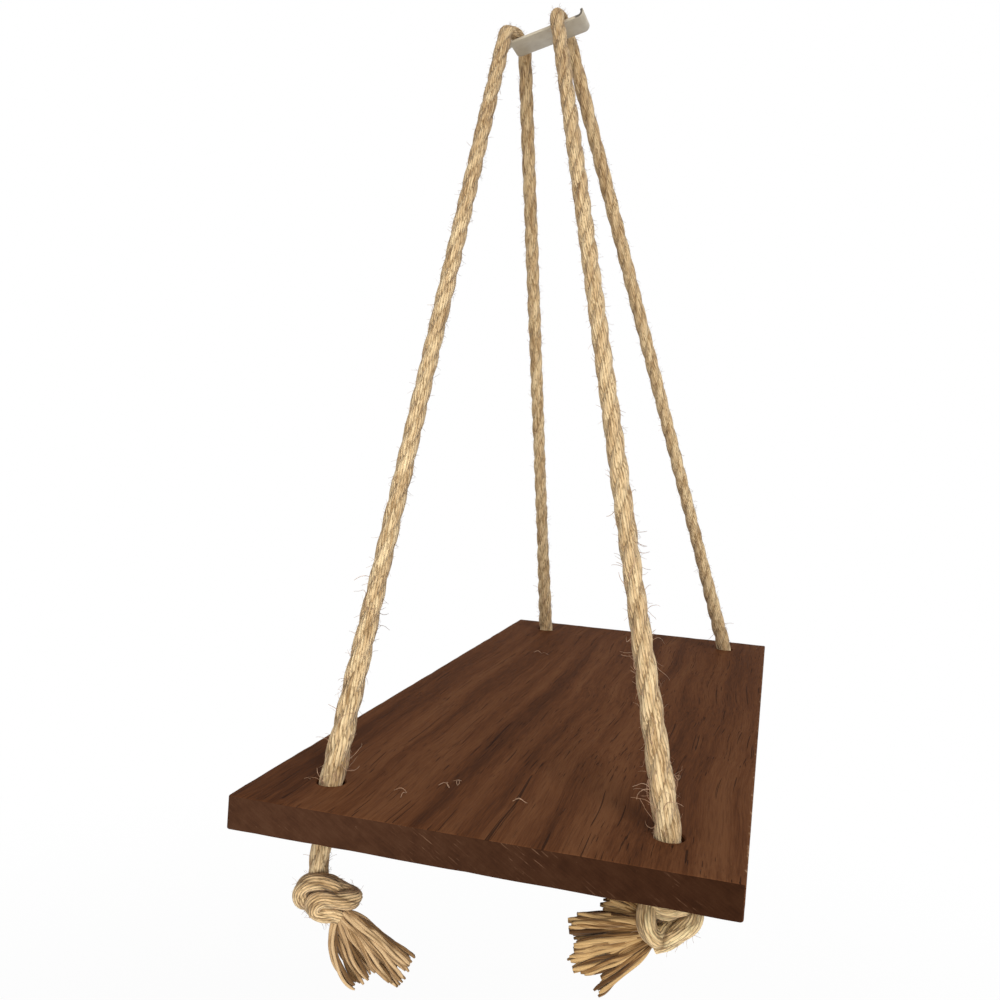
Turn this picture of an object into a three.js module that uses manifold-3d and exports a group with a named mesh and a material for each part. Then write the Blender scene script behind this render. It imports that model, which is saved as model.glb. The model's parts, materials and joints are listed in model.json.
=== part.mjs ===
// Hanging rope shelf: a stained plank slung from a wall hook by two ropes. Each rope crosses
// over the hook's arm, and its ends pass down through the plank into a knot and a frayed tuft.
// Millimetres. X runs along the wall, +Y points to the wall and +Z is up. The origin is the
// wall end of the hook's tab. Near is the -X end of the plank and far is the +X end.
import * as THREE from 'three';
import { mergeVertices } from 'three/addons/utils/BufferGeometryUtils.js';
import Module from 'manifold-3d';

const wasm = await Module();
wasm.setup();

const degrees = THREE.MathUtils.degToRad;

// The plank
const boardLength = 425;
const boardDepth = 185;
const boardThickness = 12.7;
const boardCornerRadius = 1.3;
const boardArris = 0.6;
const holeEndInset = 29.5;
const holeEdgeInset = 27.5;
const holeDiameter = 11.1;
const holeSegments = 16;
const cornerSegments = 4;

// Where the plank's top hangs, under and in front of the hook's tab
const boardDrop = 346;
const boardSetback = 74.1;

// The hook's arm, a steel strip that rises away from the wall and ends in a rolled lip
const armWidth = 19;
const armThickness = 1.5;
const armReach = 50.5;
const armCornerRadius = 2.5;
const armRise = degrees(18);
const tabWidth = 5;
const tabLength = 11.8;
const lipRadius = 1.8;
const lipTurn = degrees(105);
const lipSegments = 8;

// The ropes, how far along the arm each one crosses it, and how much higher it arches in the
// middle than over the arm's two edges. A rope that leans below its hole bears on its wall.
const ropeDiameter = 8.5;
const ropeSides = 10;
const ropeBendRadius = 20;
const ropeGap = 0.3;
const swayLimit = degrees(5);
const wallCrossing = 12.6;
const frontCrossing = 40.5;
const wallCrossingSkew = 3.6;
const frontCrossingSkew = 0.6;
const crossingArch = 1.8;
const mouthClearance = 0.4;
const crossingSteps = 4;
const settleRounds = 4;
const legSteps = 13;
const holeBendSteps = 4;
const bendStartShare = 0.44;

// The knots, where the same rope is squeezed
const knotRopeDiameter = 6.2;
const knotSides = 8;
const knotRadius = 7.3;
const knotWind = 3.4;
const knotHalfHeight = 6.5;
const knotRise = 3.4;
const knotStart = degrees(49);
const knotLead = 2.2;
const knotOut = 3;
const knotLeadSteps = 4;
const knotSteps = 40;

// The frayed tufts
const tuftNeckDiameter = 8;
const tuftRings = 8;
const tuftSides = 22;
const tuftLobes = 7;
const tuftLobeShare = 0.1;
const tuftRaggedShare = 0.07;
const tuftFlatnessShare = 0.62;

// One entry for each corner of the plank: the rope that shows under it, how far its end leans
// to the wall there, the knot's turn, and the tuft's direction, length, width and roll.
const corners = {
  near_wall: {
    end: -1, row: 1, freeRope: 23.3, lean: 3.5, turn: 0,
    aim: [0.15, -0.72, -0.68], tuftLength: 31, tuftWidth: 27, tuftRoll: degrees(80),
  },
  near_front: {
    end: -1, row: -1, freeRope: 5.1, lean: 0, turn: degrees(90),
    aim: [-0.14, 0.9, -0.44], tuftLength: 34, tuftWidth: 28, tuftRoll: degrees(85),
  },
  far_wall: {
    end: 1, row: 1, freeRope: 8.3, lean: 1, turn: degrees(-40),
    aim: [-0.5, -0.5, -0.7], tuftLength: 32, tuftWidth: 24, tuftRoll: degrees(30),
  },
  far_front: {
    end: 1, row: -1, freeRope: 6.3, lean: 0, turn: degrees(150),
    aim: [0.45, 0.8, -0.38], tuftLength: 32, tuftWidth: 24, tuftRoll: degrees(50),
  },
};

// Derived places
const holeX = boardLength / 2 - holeEndInset;
const holeY = boardDepth / 2 - holeEdgeInset;
const boardUnderside = -boardDrop - boardThickness;
const ropeRadius = ropeDiameter / 2;
const armOut = new THREE.Vector3(0, -Math.cos(armRise), Math.sin(armRise));
const armUp = new THREE.Vector3(0, Math.sin(armRise), Math.cos(armRise));

const materials = {
  wood: new THREE.MeshStandardMaterial({ color: 0x4f3124, roughness: 0.75, metalness: 0 }),
  jute: new THREE.MeshStandardMaterial({ color: 0xc4a06c, roughness: 0.95, metalness: 0 }),
  paint: new THREE.MeshStandardMaterial({ color: 0xe9e4da, roughness: 0.45, metalness: 0 }),
};

// A point that starts from another one and goes given lengths along given directions.
function along(start, ...moves) {
  const point = start.clone();
  for (const [direction, length] of moves) point.addScaledVector(direction, length);
  return point;
}

// A smooth line whose rings, when it is swept, lie exactly on its own points.
class PointRoute extends THREE.CatmullRomCurve3 {
  getUtoTmapping(u) {
    return u;
  }
}

// A round bar along the points, closed at both ends.
function tube(points, diameter, sides) {
  const section = new THREE.Shape().absarc(0, 0, diameter / 2, 0, 2 * Math.PI);
  return new THREE.ExtrudeGeometry(section, {
    curveSegments: sides / 2,
    steps: points.length - 1,
    extrudePath: new PointRoute(points),
  });
}

// A geometry as a solid that can be joined and cut, and back again.
function solidOf(geometry) {
  const bare = geometry.clone().deleteAttribute('normal').deleteAttribute('uv');
  const merged = mergeVertices(bare);
  return new wasm.Manifold(new wasm.Mesh({
    numProp: 3,
    vertProperties: new Float32Array(merged.attributes.position.array),
    triVerts: new Uint32Array(merged.index.array),
  }));
}

function geometryOf(solid) {
  const { vertProperties, triVerts } = solid.getMesh();
  const geometry = new THREE.BufferGeometry();
  geometry.setAttribute('position', new THREE.BufferAttribute(vertProperties, 3));
  geometry.setIndex(new THREE.BufferAttribute(triVerts, 1));
  return geometry.toNonIndexed();
}

function mesh(name, geometry, material) {
  geometry.computeVertexNormals();
  const made = new THREE.Mesh(geometry, material);
  made.name = name;
  return made;
}

// The plank, with a softened arris all round and a hole for a rope near each corner.
function makeBoard() {
  const x = boardLength / 2 - boardArris;
  const y = boardDepth / 2 - boardArris;
  const r = boardCornerRadius - boardArris;
  const outline = new THREE.Shape();
  outline.absarc(x - r, y - r, r, 0, Math.PI / 2);
  outline.absarc(r - x, y - r, r, Math.PI / 2, Math.PI);
  outline.absarc(r - x, r - y, r, Math.PI, 1.5 * Math.PI);
  outline.absarc(x - r, r - y, r, 1.5 * Math.PI, 2 * Math.PI);
  const plank = solidOf(new THREE.ExtrudeGeometry(outline, {
    depth: boardThickness - 2 * boardArris,
    curveSegments: cornerSegments,
    bevelThickness: boardArris,
    bevelSize: boardArris,
    bevelSegments: 1,
  }).translate(0, 0, boardArris - boardThickness));
  let drilled = plank;
  for (const { end, row } of Object.values(corners)) {
    const bit = new THREE.CylinderGeometry(
      holeDiameter / 2, holeDiameter / 2, 2 * boardThickness, 2 * holeSegments,
    ).rotateX(Math.PI / 2).translate(end * holeX, row * holeY, 0);
    drilled = drilled.subtract(solidOf(bit));
  }
  const board = mesh('board', geometryOf(drilled), materials.wood);
  board.position.set(0, -boardSetback, -boardDrop);
  return board;
}

// The arm in its own frame, X across to its near side, Y out from the wall and Z up: its side
// view swept across, kept where the plan of the strip is. The tab slants from the middle of
// the wall end to the strip's near side, and the strip's far corner beside it is rounded.
function makeArm() {
  const half = armThickness / 2;
  const rollCentre = half + lipRadius;
  const side = new THREE.Shape();
  side.moveTo(0, -half);
  side.lineTo(armReach, -half);
  side.absarc(armReach, rollCentre, lipRadius + armThickness, -Math.PI / 2,
    lipTurn - Math.PI / 2);
  side.absarc(armReach, rollCentre, lipRadius, lipTurn - Math.PI / 2, -Math.PI / 2, true);
  side.lineTo(0, half);
  const swept = new THREE.ExtrudeGeometry(side, {
    depth: armWidth, curveSegments: lipSegments, bevelEnabled: false,
  });
  // The side view's axes are made the arm's Y and Z, and its depth runs across.
  swept.applyMatrix4(new THREE.Matrix4().makeBasis(
    new THREE.Vector3(0, 1, 0), new THREE.Vector3(0, 0, 1), new THREE.Vector3(1, 0, 0),
  )).translate(-armWidth / 2, 0, 0);

  const far = armReach + 2 * (lipRadius + armThickness);
  const wide = armWidth / 2;
  const r = armCornerRadius;
  const plan = new THREE.Shape();
  plan.moveTo(-tabWidth / 2, -armThickness);
  plan.lineTo(tabWidth / 2, -armThickness);
  plan.lineTo(tabWidth / 2, 0);
  plan.lineTo(wide, tabLength);
  plan.lineTo(wide, far);
  plan.lineTo(-wide, far);
  plan.absarc(r - wide, tabLength + r, r, Math.PI, 1.5 * Math.PI);
  plan.lineTo(wide - tabWidth, tabLength);
  plan.lineTo(-tabWidth / 2, 0);
  const tall = 4 * (lipRadius + armThickness);
  const cutter = new THREE.ExtrudeGeometry(plan, {
    depth: tall, curveSegments: cornerSegments, bevelEnabled: false,
  }).translate(0, 0, -tall / 2);

  const arm = mesh(
    'hook_arm', geometryOf(solidOf(swept).intersect(solidOf(cutter))), materials.paint,
  );
  // Out from the wall is -Y, so the arm's frame is turned half round and then raised.
  arm.rotation.set(armRise, 0, Math.PI, 'ZXY');
  return arm;
}

// A rope's centreline, from its end under one near hole, over the arm and down to its end
// under the far hole. The corner of the arm, at the end of its sway, sets how it crosses.
function ropeRoute(row, crossing, skew) {
  const name = row > 0 ? 'wall' : 'front';
  const saddle = along(new THREE.Vector3(), [armOut, crossing], [armUp, armThickness / 2]);
  const underSaddle = new THREE.Vector3(0, row * holeY - boardSetback, -boardDrop);
  const up = saddle.clone().sub(underSaddle).normalize();
  const across = new THREE.Vector3(1, 0, 0);
  const bend = (ropeRadius + ropeGap) / up.dot(armUp);
  const cornerX = armWidth / 2 * Math.cos(swayLimit);
  const cornerRise = armWidth / 2 * Math.sin(swayLimit);
  const skewShare = skew / (armWidth + ropeDiameter);
  const overArm = (end, angle) => {
    const x = end * (cornerX + bend * Math.cos(angle));
    const rise = cornerRise + bend * Math.sin(angle);
    return along(saddle, [across, x], [up, rise], [armOut, x * skewShare]);
  };

  const half = (end) => {
    const { freeRope, lean } = corners[(end < 0 ? 'near_' : 'far_') + name];
    const holeAxis = new THREE.Vector3(end * holeX, row * holeY - boardSetback, 0);
    const down = new THREE.Vector3(0, 0, -1);
    const bendStart = along(holeAxis, [down, boardDrop + bendStartShare * boardThickness]);
    // The leg runs straight from the bend above the hole to the bend over the arm.
    let legAngle = 0;
    let lift = 0;
    let heading = new THREE.Vector3();
    for (let round = 0; round < settleRounds; round += 1) {
      const top = overArm(end, legAngle);
      heading = top.sub(along(bendStart, [down, -ropeBendRadius * Math.tan(lift / 2)]));
      legAngle = Math.atan2(-end * heading.x, heading.dot(up));
      lift = Math.acos(heading.z / heading.length());
    }
    const inward = new THREE.Vector3(heading.x, heading.y, 0).normalize();
    const points = [];
    for (let i = 0; i <= crossingSteps; i += 1) {
      const share = i / crossingSteps;
      points.push(overArm(end, Math.PI / 2 + share * (legAngle - Math.PI / 2)));
    }
    const legTop = points.at(-1);
    const onBend = (angle) => along(bendStart,
      [inward, ropeBendRadius * (1 - Math.cos(angle))], [down, -ropeBendRadius * Math.sin(angle)]);
    const legFoot = onBend(lift);
    for (let i = 1; i < legSteps; i += 1) {
      points.push(legTop.clone().lerp(legFoot, i / legSteps));
    }
    for (let i = holeBendSteps; i >= 0; i -= 1) points.push(onBend(lift * i / holeBendSteps));
    const wallward = new THREE.Vector3(0, 1, 0);
    const bearing = Math.min(lean, holeDiameter / 2 - ropeRadius - mouthClearance);
    const underHole = holeAxis.clone().setZ(boardUnderside);
    const mouth = along(underHole, [wallward, bearing]);
    const finish = along(underHole, [down, freeRope], [wallward, lean]);
    points.push(mouth, mouth.clone().lerp(finish, 0.5), finish);
    return points;
  };
  const apex = along(saddle, [up, cornerRise + bend + crossingArch]);
  return [...half(-1).reverse(), apex, ...half(1)];
}

// The overhand knot's own line: twice round its axis while it winds three times in and out.
function knotPoint(turn) {
  const radius = knotRadius + knotWind * Math.cos(3 * turn);
  return new THREE.Vector3(
    radius * Math.cos(2 * turn), radius * Math.sin(2 * turn), knotHalfHeight * Math.sin(3 * turn),
  );
}

// A bend that sets off from one point in one direction and arrives at another in a second.
function leadBend(from, setOff, to, arrive) {
  return new THREE.CubicBezierCurve3(
    from, along(from, [setOff, knotLead]), along(to, [arrive, -knotLead]), to,
  ).getPoints(knotLeadSteps);
}

// A knot below the end of a rope, given that end and the direction of the rope there. Its
// line comes in straight down, winds through itself and bends off along its tuft.
function knotRoute(ropeEnd, heading, { turn, aim }) {
  const wound = [];
  for (let i = 0; i <= knotSteps; i += 1) {
    wound.push(knotPoint(knotStart + 2 * (Math.PI - knotStart) * i / knotSteps));
  }
  const setOff = wound[1].clone().sub(wound[0]).normalize();
  const entry = along(wound[0], [setOff, -knotLead]).setZ(knotHalfHeight + knotRise);
  const local = [...leadBend(entry, new THREE.Vector3(0, 0, -1), wound[0], setOff), ...wound];
  local.splice(knotLeadSteps, 1);

  const stand = new THREE.Quaternion().setFromUnitVectors(new THREE.Vector3(0, 0, -1), heading)
    .multiply(new THREE.Quaternion().setFromAxisAngle(new THREE.Vector3(0, 0, 1), turn));
  const start = along(ropeEnd, [heading, ropeGap]);
  const line = local.map((point) => point.clone().sub(entry).applyQuaternion(stand).add(start));
  const leave = line.at(-1);
  const away = new THREE.Vector3(...aim).normalize();
  const out = leave.clone().sub(line.at(-2)).normalize();
  const finish = along(leave, [out, knotLead], [away, knotOut]);
  return [...line, ...leadBend(leave, out, finish, away).slice(1)];
}

// The least gap between a tube's stretches that aren't next to each other.
function leastGap(points, diameter) {
  const line = new THREE.CatmullRomCurve3(points).getSpacedPoints(8 * points.length);
  const step = line[0].distanceTo(line[1]);
  const apart = Math.ceil(2 * diameter / step);
  let least = Infinity;
  for (let i = 0; i < line.length; i += 1) {
    for (let j = i + apart; j < line.length; j += 1) {
      least = Math.min(least, line[i].distanceTo(line[j]));
    }
  }
  return least - diameter;
}

// A frayed rope end: a flattened bell whose rim is drawn out into uneven lobes.
function makeTuft(name, start, { aim, tuftLength, tuftWidth, tuftRoll }) {
  const profile = [new THREE.Vector2(0, 0)];
  for (let i = 0; i <= tuftRings; i += 1) {
    const share = i / tuftRings;
    const spread = share * share * (3 - 2 * share);
    const radius = tuftNeckDiameter / 2 + spread * (tuftWidth - tuftNeckDiameter) / 2;
    profile.push(new THREE.Vector2(radius, share * tuftLength));
  }
  profile.push(new THREE.Vector2(0, tuftLength));
  const bell = mergeVertices(new THREE.LatheGeometry(profile, tuftSides)
    .deleteAttribute('uv').deleteAttribute('normal'));
  const place = bell.attributes.position;
  for (let i = 0; i < place.count; i += 1) {
    const [x, y, z] = [place.getX(i), place.getY(i), place.getZ(i)];
    const share = y / tuftLength;
    const lobe = Math.cos(tuftLobes * Math.atan2(z, x));
    const swell = 1 + tuftLobeShare * share * lobe;
    const offAxis = Math.min(1, 2 * Math.hypot(x, z) / tuftWidth);
    const flat = 1 - (1 - tuftFlatnessShare) * share;
    const ragged = 1 - tuftRaggedShare * share * offAxis * (1 - lobe);
    place.setXYZ(i, x * swell, y * ragged, z * swell * flat);
  }
  const away = new THREE.Vector3(...aim).normalize();
  const tuft = mesh(name, bell.toNonIndexed(), materials.jute);
  tuft.quaternion.setFromUnitVectors(new THREE.Vector3(0, 1, 0), away);
  tuft.rotateY(tuftRoll);
  tuft.position.copy(along(start, [away, ropeGap]));
  return tuft;
}

const shelf = new THREE.Group();
shelf.add(makeBoard(), makeArm());

const ropes = {
  wall: ropeRoute(1, wallCrossing, wallCrossingSkew),
  front: ropeRoute(-1, frontCrossing, frontCrossingSkew),
};
for (const [name, route] of Object.entries(ropes)) {
  shelf.add(mesh(`${name}_rope`, tube(route, ropeDiameter, ropeSides), materials.jute));
  for (const [end, tail] of [['near', route.slice(0, 2).reverse()], ['far', route.slice(-2)]]) {
    const corner = `${end}_${name}`;
    const heading = tail[1].clone().sub(tail[0]).normalize();
    const line = knotRoute(tail[1], heading, corners[corner]);
    const gap = leastGap(line, knotRopeDiameter);
    console.log(`${corner}_knot passes itself with at least ${gap.toFixed(2)} mm`);
    shelf.add(
      mesh(`${corner}_knot`, tube(line, knotRopeDiameter, knotSides), materials.jute),
      makeTuft(`${corner}_tuft`, line.at(-1), corners[corner]),
    );
  }
}

export default shelf;
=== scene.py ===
"""A hanging rope shelf: a stained plank slung by two jute ropes from a painted wall hook.

Metres, in the frame of the solid model: X runs along the wall, +Y points to the wall and +Z is
up. Near is the -X end of the plank and far is its +X end; wall and front are its two sides.
"""

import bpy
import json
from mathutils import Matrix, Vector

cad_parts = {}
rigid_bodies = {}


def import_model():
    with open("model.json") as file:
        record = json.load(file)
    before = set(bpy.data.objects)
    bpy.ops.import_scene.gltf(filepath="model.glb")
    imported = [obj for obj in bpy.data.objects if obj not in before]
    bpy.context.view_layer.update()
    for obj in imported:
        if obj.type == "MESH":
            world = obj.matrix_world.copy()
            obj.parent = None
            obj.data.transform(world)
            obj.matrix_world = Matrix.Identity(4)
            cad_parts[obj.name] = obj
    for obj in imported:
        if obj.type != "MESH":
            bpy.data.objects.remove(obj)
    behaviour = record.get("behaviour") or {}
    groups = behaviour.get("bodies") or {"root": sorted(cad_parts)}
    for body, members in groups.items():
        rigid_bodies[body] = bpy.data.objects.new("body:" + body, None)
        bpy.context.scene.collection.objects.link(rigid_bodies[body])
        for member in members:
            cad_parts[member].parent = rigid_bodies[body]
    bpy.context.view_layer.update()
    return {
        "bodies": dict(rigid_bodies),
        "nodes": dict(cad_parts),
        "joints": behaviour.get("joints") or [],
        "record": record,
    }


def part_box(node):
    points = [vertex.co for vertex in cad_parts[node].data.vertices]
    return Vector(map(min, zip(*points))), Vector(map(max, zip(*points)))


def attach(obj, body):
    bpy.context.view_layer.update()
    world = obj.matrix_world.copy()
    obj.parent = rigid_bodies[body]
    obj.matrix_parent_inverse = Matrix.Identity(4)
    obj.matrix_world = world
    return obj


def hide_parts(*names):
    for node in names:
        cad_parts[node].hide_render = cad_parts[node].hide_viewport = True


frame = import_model()

import json
import logging
import math
import random
from dataclasses import dataclass, field, replace
from enum import Enum
from functools import partial

import bmesh
import bpy
import numpy as np
from bmesh.types import BMesh
from bpy.types import Material, Mesh, Node, NodeSocket, NodeTree, Object
from mathutils import Matrix, Quaternion, Vector, noise
from mathutils.geometry import interpolate_bezier

log = logging.getLogger("rope_shelf")

MM = 0.001
TURN = 2 * math.pi
ALONG = Vector((1, 0, 0))
TO_WALL = Vector((0, 1, 0))
UP = Vector((0, 0, 1))
WHITE = (1.0, 1.0, 1.0)


class Body(Enum):
    """The two bodies that the pieces ride on."""

    HOOK = "hook"
    SHELF = "shelf"


class Slot(Enum):
    """The record's material slots."""

    WOOD = "wood"
    JUTE = "jute"
    PAINT = "paint"


class End(Enum):
    """The two ends of the plank, with their direction along X."""

    NEAR = -1
    FAR = 1


class Row(Enum):
    """The two rows of rope holes, with their direction along Y."""

    WALL = 1
    FRONT = -1


def along(start: Vector, *moves: tuple[Vector, float]) -> Vector:
    """Go from a point by given lengths along given directions.

    Args:
        start: the point to start from.
        moves: pairs of a direction and a length.

    Returns:
        The point reached.
    """
    point = start.copy()
    for direction, length in moves:
        point += direction * length
    return point


def eased(share: float) -> float:
    """Turn a share from 0 to 1 into one that starts and ends gently."""
    share = min(1.0, max(0.0, share))
    return share * share * (3 - 2 * share)


def linked(name: str, data: bpy.types.ID) -> Object:
    """Make an object of some data and put it in the scene.

    Args:
        name: the object's name.
        data: its mesh, curve, camera or lamp.

    Returns:
        The object.
    """
    made = bpy.data.objects.new(name, data)
    bpy.context.scene.collection.objects.link(made)
    return made


def as_mesh(name: str, bm: BMesh) -> Mesh:
    """Turn a bmesh into a mesh.

    Args:
        name: the mesh's name.
        bm: the bmesh, which is used up.

    Returns:
        The mesh.
    """
    mesh = bpy.data.meshes.new(name)
    bm.to_mesh(mesh)
    bm.free()
    return mesh


def rounded(bm: BMesh, edges: list, radius: float, steps: int) -> None:
    """Round off some edges of a bmesh by a radius, in a number of steps."""
    bmesh.ops.bevel(bm, geom=edges, offset=radius, affect="EDGES", segments=steps,
                    profile=0.5, material=-1)


def smoothed(mesh: Mesh, sharp: float | None = None) -> Mesh:
    """Shade a mesh smoothly.

    Args:
        mesh: the mesh.
        sharp: the angle above which an edge stays sharp, if any does.

    Returns:
        The mesh.
    """
    mesh.polygons.foreach_set("use_smooth", [True] * len(mesh.polygons))
    if sharp is not None:
        mesh.set_sharp_from_angle(angle=sharp)
    return mesh


def vertex_places(mesh: Mesh) -> np.ndarray:
    """Read where a mesh's vertices are.

    Args:
        mesh: the mesh.

    Returns:
        Their places, one to a row.
    """
    places = np.empty(3 * len(mesh.vertices))
    mesh.vertices.foreach_get("co", places)
    return places.reshape(-1, 3)


def place_piece(
    name: str, mesh: Mesh, material: Material, body: Body,
    node: str | None = None,
) -> Object:
    """Put a finished mesh in the scene as a piece of the object.

    Args:
        name: the piece's name.
        mesh: its mesh, already in its place.
        material: its material.
        body: the body it rides on.
        node: the solid that it stands for, if any.

    Returns:
        The piece.
    """
    mesh.materials.clear()
    mesh.materials.append(material)
    piece = linked(name, mesh)
    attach(piece, body.value)
    if node:
        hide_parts(node)
    log.info("%s: %d faces", name, len(mesh.polygons))
    return piece


# Shader building blocks


class Shader:
    """A short way to add nodes to a material's or a group's tree and join them."""

    def __init__(self, tree: NodeTree) -> None:
        """Keep the tree that the nodes go into."""
        self.tree = tree

    def fill(self, node: Node, inputs: dict) -> None:
        """Set a node's inputs, or join them to other nodes.

        Args:
            node: the node.
            inputs: a value or an output socket for each named or numbered input. A colour may
                leave its alpha out.
        """
        for key, value in inputs.items():
            socket = node.inputs[key]
            if isinstance(value, NodeSocket):
                self.tree.links.new(value, socket)
            elif isinstance(value, tuple) and len(value) < len(socket.default_value):
                socket.default_value = (*value, 1.0)
            else:
                socket.default_value = value

    def node(self, kind: str, inputs: dict | None = None, **settings: object) -> Node:
        """Add a node.

        Args:
            kind: the node's type, without the ShaderNode in front.
            inputs: what goes into it, as `fill` takes it.
            settings: the node's own properties.

        Returns:
            The node.
        """
        made = self.tree.nodes.new("ShaderNode" + kind)
        for key, value in settings.items():
            setattr(made, key, value)
        self.fill(made, inputs or {})
        return made

    def math(self, operation: str, *values: object, clamp: bool = False) -> NodeSocket:
        """Work out a number from others, and return its socket."""
        inputs = dict(enumerate(values))
        return self.node("Math", inputs, operation=operation, use_clamp=clamp).outputs[0]

    def plus(self, a: object, b: object) -> NodeSocket:
        """Add two numbers, and return the sum's socket."""
        return self.math("ADD", a, b)

    def minus(self, a: object, b: object) -> NodeSocket:
        """Take a number from another, and return the difference's socket."""
        return self.math("SUBTRACT", a, b)

    def times(self, a: object, b: object) -> NodeSocket:
        """Multiply two numbers, and return the product's socket."""
        return self.math("MULTIPLY", a, b)

    def size(self, value: object) -> NodeSocket:
        """Drop a number's sign, and return its socket."""
        return self.math("ABSOLUTE", value)

    def vector_math(self, operation: str, *values: object) -> NodeSocket:
        """Work out a vector, or a length or dot product, and return its socket."""
        made = self.node("VectorMath", dict(enumerate(values)), operation=operation)
        return made.outputs["Value" if operation in ("LENGTH", "DOT_PRODUCT") else "Vector"]

    def vector(self, x: object, y: object, z: object = 0.0) -> NodeSocket:
        """Make a vector of three numbers, and return its socket."""
        return self.node("CombineXYZ", {0: x, 1: y, 2: z}).outputs[0]

    def axes(self, vector: object) -> bpy.types.bpy_prop_collection:
        """Take a vector apart, and return the sockets of its three numbers."""
        return self.node("SeparateXYZ", {0: vector}).outputs

    def attribute(self, name: str) -> NodeSocket:
        """Read a number stored in the mesh, and return its socket."""
        return self.node("Attribute", attribute_name=name).outputs["Fac"]

    def mix(self, share: object, a: object, b: object, blend: str = "MIX") -> NodeSocket:
        """Mix two colours by a share, and return the mixed colour's socket."""
        inputs = {0: share, 6: a, 7: b}
        return self.node("Mix", inputs, data_type="RGBA", blend_type=blend).outputs[2]

    def number_mix(self, share: object, a: object, b: object) -> NodeSocket:
        """Mix two numbers by a share, and return the mixed number's socket."""
        return self.node("Mix", {0: share, 2: a, 3: b}, data_type="FLOAT").outputs[0]

    def ramp(self, share: object, stops: list[tuple[float, tuple]]) -> NodeSocket:
        """Turn a number into a colour.

        Args:
            share: the number.
            stops: the numbers at which the colours are given, each with its colour.

        Returns:
            The colour's socket.
        """
        made = self.node("ValToRGB", {0: share})
        band = made.color_ramp.elements
        while len(band) < len(stops):
            band.new(0.5)
        for stop, (place, colour) in zip(band, stops):
            stop.position = place
            stop.color = (*colour, 1.0)
        return made.outputs[0]

    def between(self, value: object, low: float, high: float) -> NodeSocket:
        """Map a number from low..high to 0..1, and return its socket."""
        inputs = {"Value": value, "From Min": low, "From Max": high}
        return self.node("MapRange", inputs, interpolation_type="SMOOTHSTEP").outputs[0]

    def bump(self, height: object, distance: float, strength: float) -> NodeSocket:
        """Turn a height into a surface's direction, and return its socket."""
        inputs = {"Height": height, "Distance": distance, "Strength": strength}
        return self.node("Bump", inputs).outputs[0]

    def seen(self) -> NodeSocket:
        """Tell what the camera sees, also in reflections and through clear things.

        Returns:
            The mask's socket.
        """
        path = self.node("LightPath").outputs
        seen = self.math("MAXIMUM", path["Is Camera Ray"], path["Is Glossy Ray"])
        return self.math("MAXIMUM", seen, path["Is Transmission Ray"])


def new_group(name: str, inputs: dict[str, str], outputs: dict[str, str]) -> tuple:
    """Start a node group.

    Args:
        name: the group's name.
        inputs: the kind of each input socket by its name.
        outputs: the kind of each output socket by its name.

    Returns:
        The group, a Shader on it, the sockets that bring its inputs in and its output node.
    """
    group = bpy.data.node_groups.new(name, "ShaderNodeTree")
    for direction, sockets in (("INPUT", inputs), ("OUTPUT", outputs)):
        for label, kind in sockets.items():
            group.interface.new_socket(label, in_out=direction, socket_type="NodeSocket" + kind)
    source = group.nodes.new("NodeGroupInput").outputs
    return group, Shader(group), source, group.nodes.new("NodeGroupOutput")


def fibre_group() -> NodeTree:
    """Long thin streaks, as grain in wood or fibres in a yarn.

    Returns:
        A group that takes a position, how many streaks to the metre there are across and how
        many along them, and puts out a tone, a mask of the darkest streaks and a narrower one
        of cracks.
    """
    group, s, source, target = new_group(
        "long_fibres",
        {"Position": "Vector", "Across": "Float", "Lengthways": "Float", "Detail": "Float"},
        {"Tone": "Float", "Dark": "Float", "Crack": "Float"},
    )
    scale = s.vector(source["Lengthways"], source["Across"], source["Across"])
    tone = s.node("TexNoise", {
        "Vector": s.vector_math("MULTIPLY", source["Position"], scale), "Scale": 1.0,
        "Detail": source["Detail"], "Roughness": 0.6,
    }).outputs[0]
    s.fill(target, {
        "Tone": tone, "Dark": s.between(tone, 0.46, 0.33), "Crack": s.between(tone, 0.325, 0.285),
    })
    return group


def patch_group() -> NodeTree:
    """Soft uneven patches, as wear, dust or a stain that took unevenly.

    Returns:
        A group that takes a position, a patch size to the metre, how much is covered and how
        soft the patches' edges are, and puts out a mask.
    """
    group, s, source, target = new_group(
        "patches",
        {"Position": "Vector", "Scale": "Float", "Cover": "Float", "Softness": "Float"},
        {"Mask": "Float"},
    )
    cloud = s.node("TexNoise", {
        "Vector": source["Position"], "Scale": source["Scale"], "Detail": 4.0, "Roughness": 0.65,
    }).outputs[0]
    edge = s.minus(0.85, s.times(source["Cover"], 0.7))
    share = s.math("DIVIDE", s.minus(cloud, edge), source["Softness"])
    s.fill(target, {"Mask": s.math("ADD", share, 0.5, clamp=True)})
    return group


@dataclass(frozen=True)
class ShaderGroups:
    """The node groups that several finishes share."""

    fibre: NodeTree = field(default_factory=fibre_group)
    patch: NodeTree = field(default_factory=patch_group)

    def fibres(
        self, s: Shader, position: object, across: float, lengthways: float, detail: float,
    ) -> bpy.types.bpy_prop_collection:
        """Place the streaks group in a material, and return its outputs."""
        return s.node("Group", {
            "Position": position, "Across": across, "Lengthways": lengthways, "Detail": detail,
        }, node_tree=self.fibre).outputs

    def patches(
        self, s: Shader, position: object, scale: float, cover: float, softness: float,
    ) -> NodeSocket:
        """Place the patches group in a material, and return its mask."""
        return s.node("Group", {
            "Position": position, "Scale": scale, "Cover": cover, "Softness": softness,
        }, node_tree=self.patch).outputs["Mask"]


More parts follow.
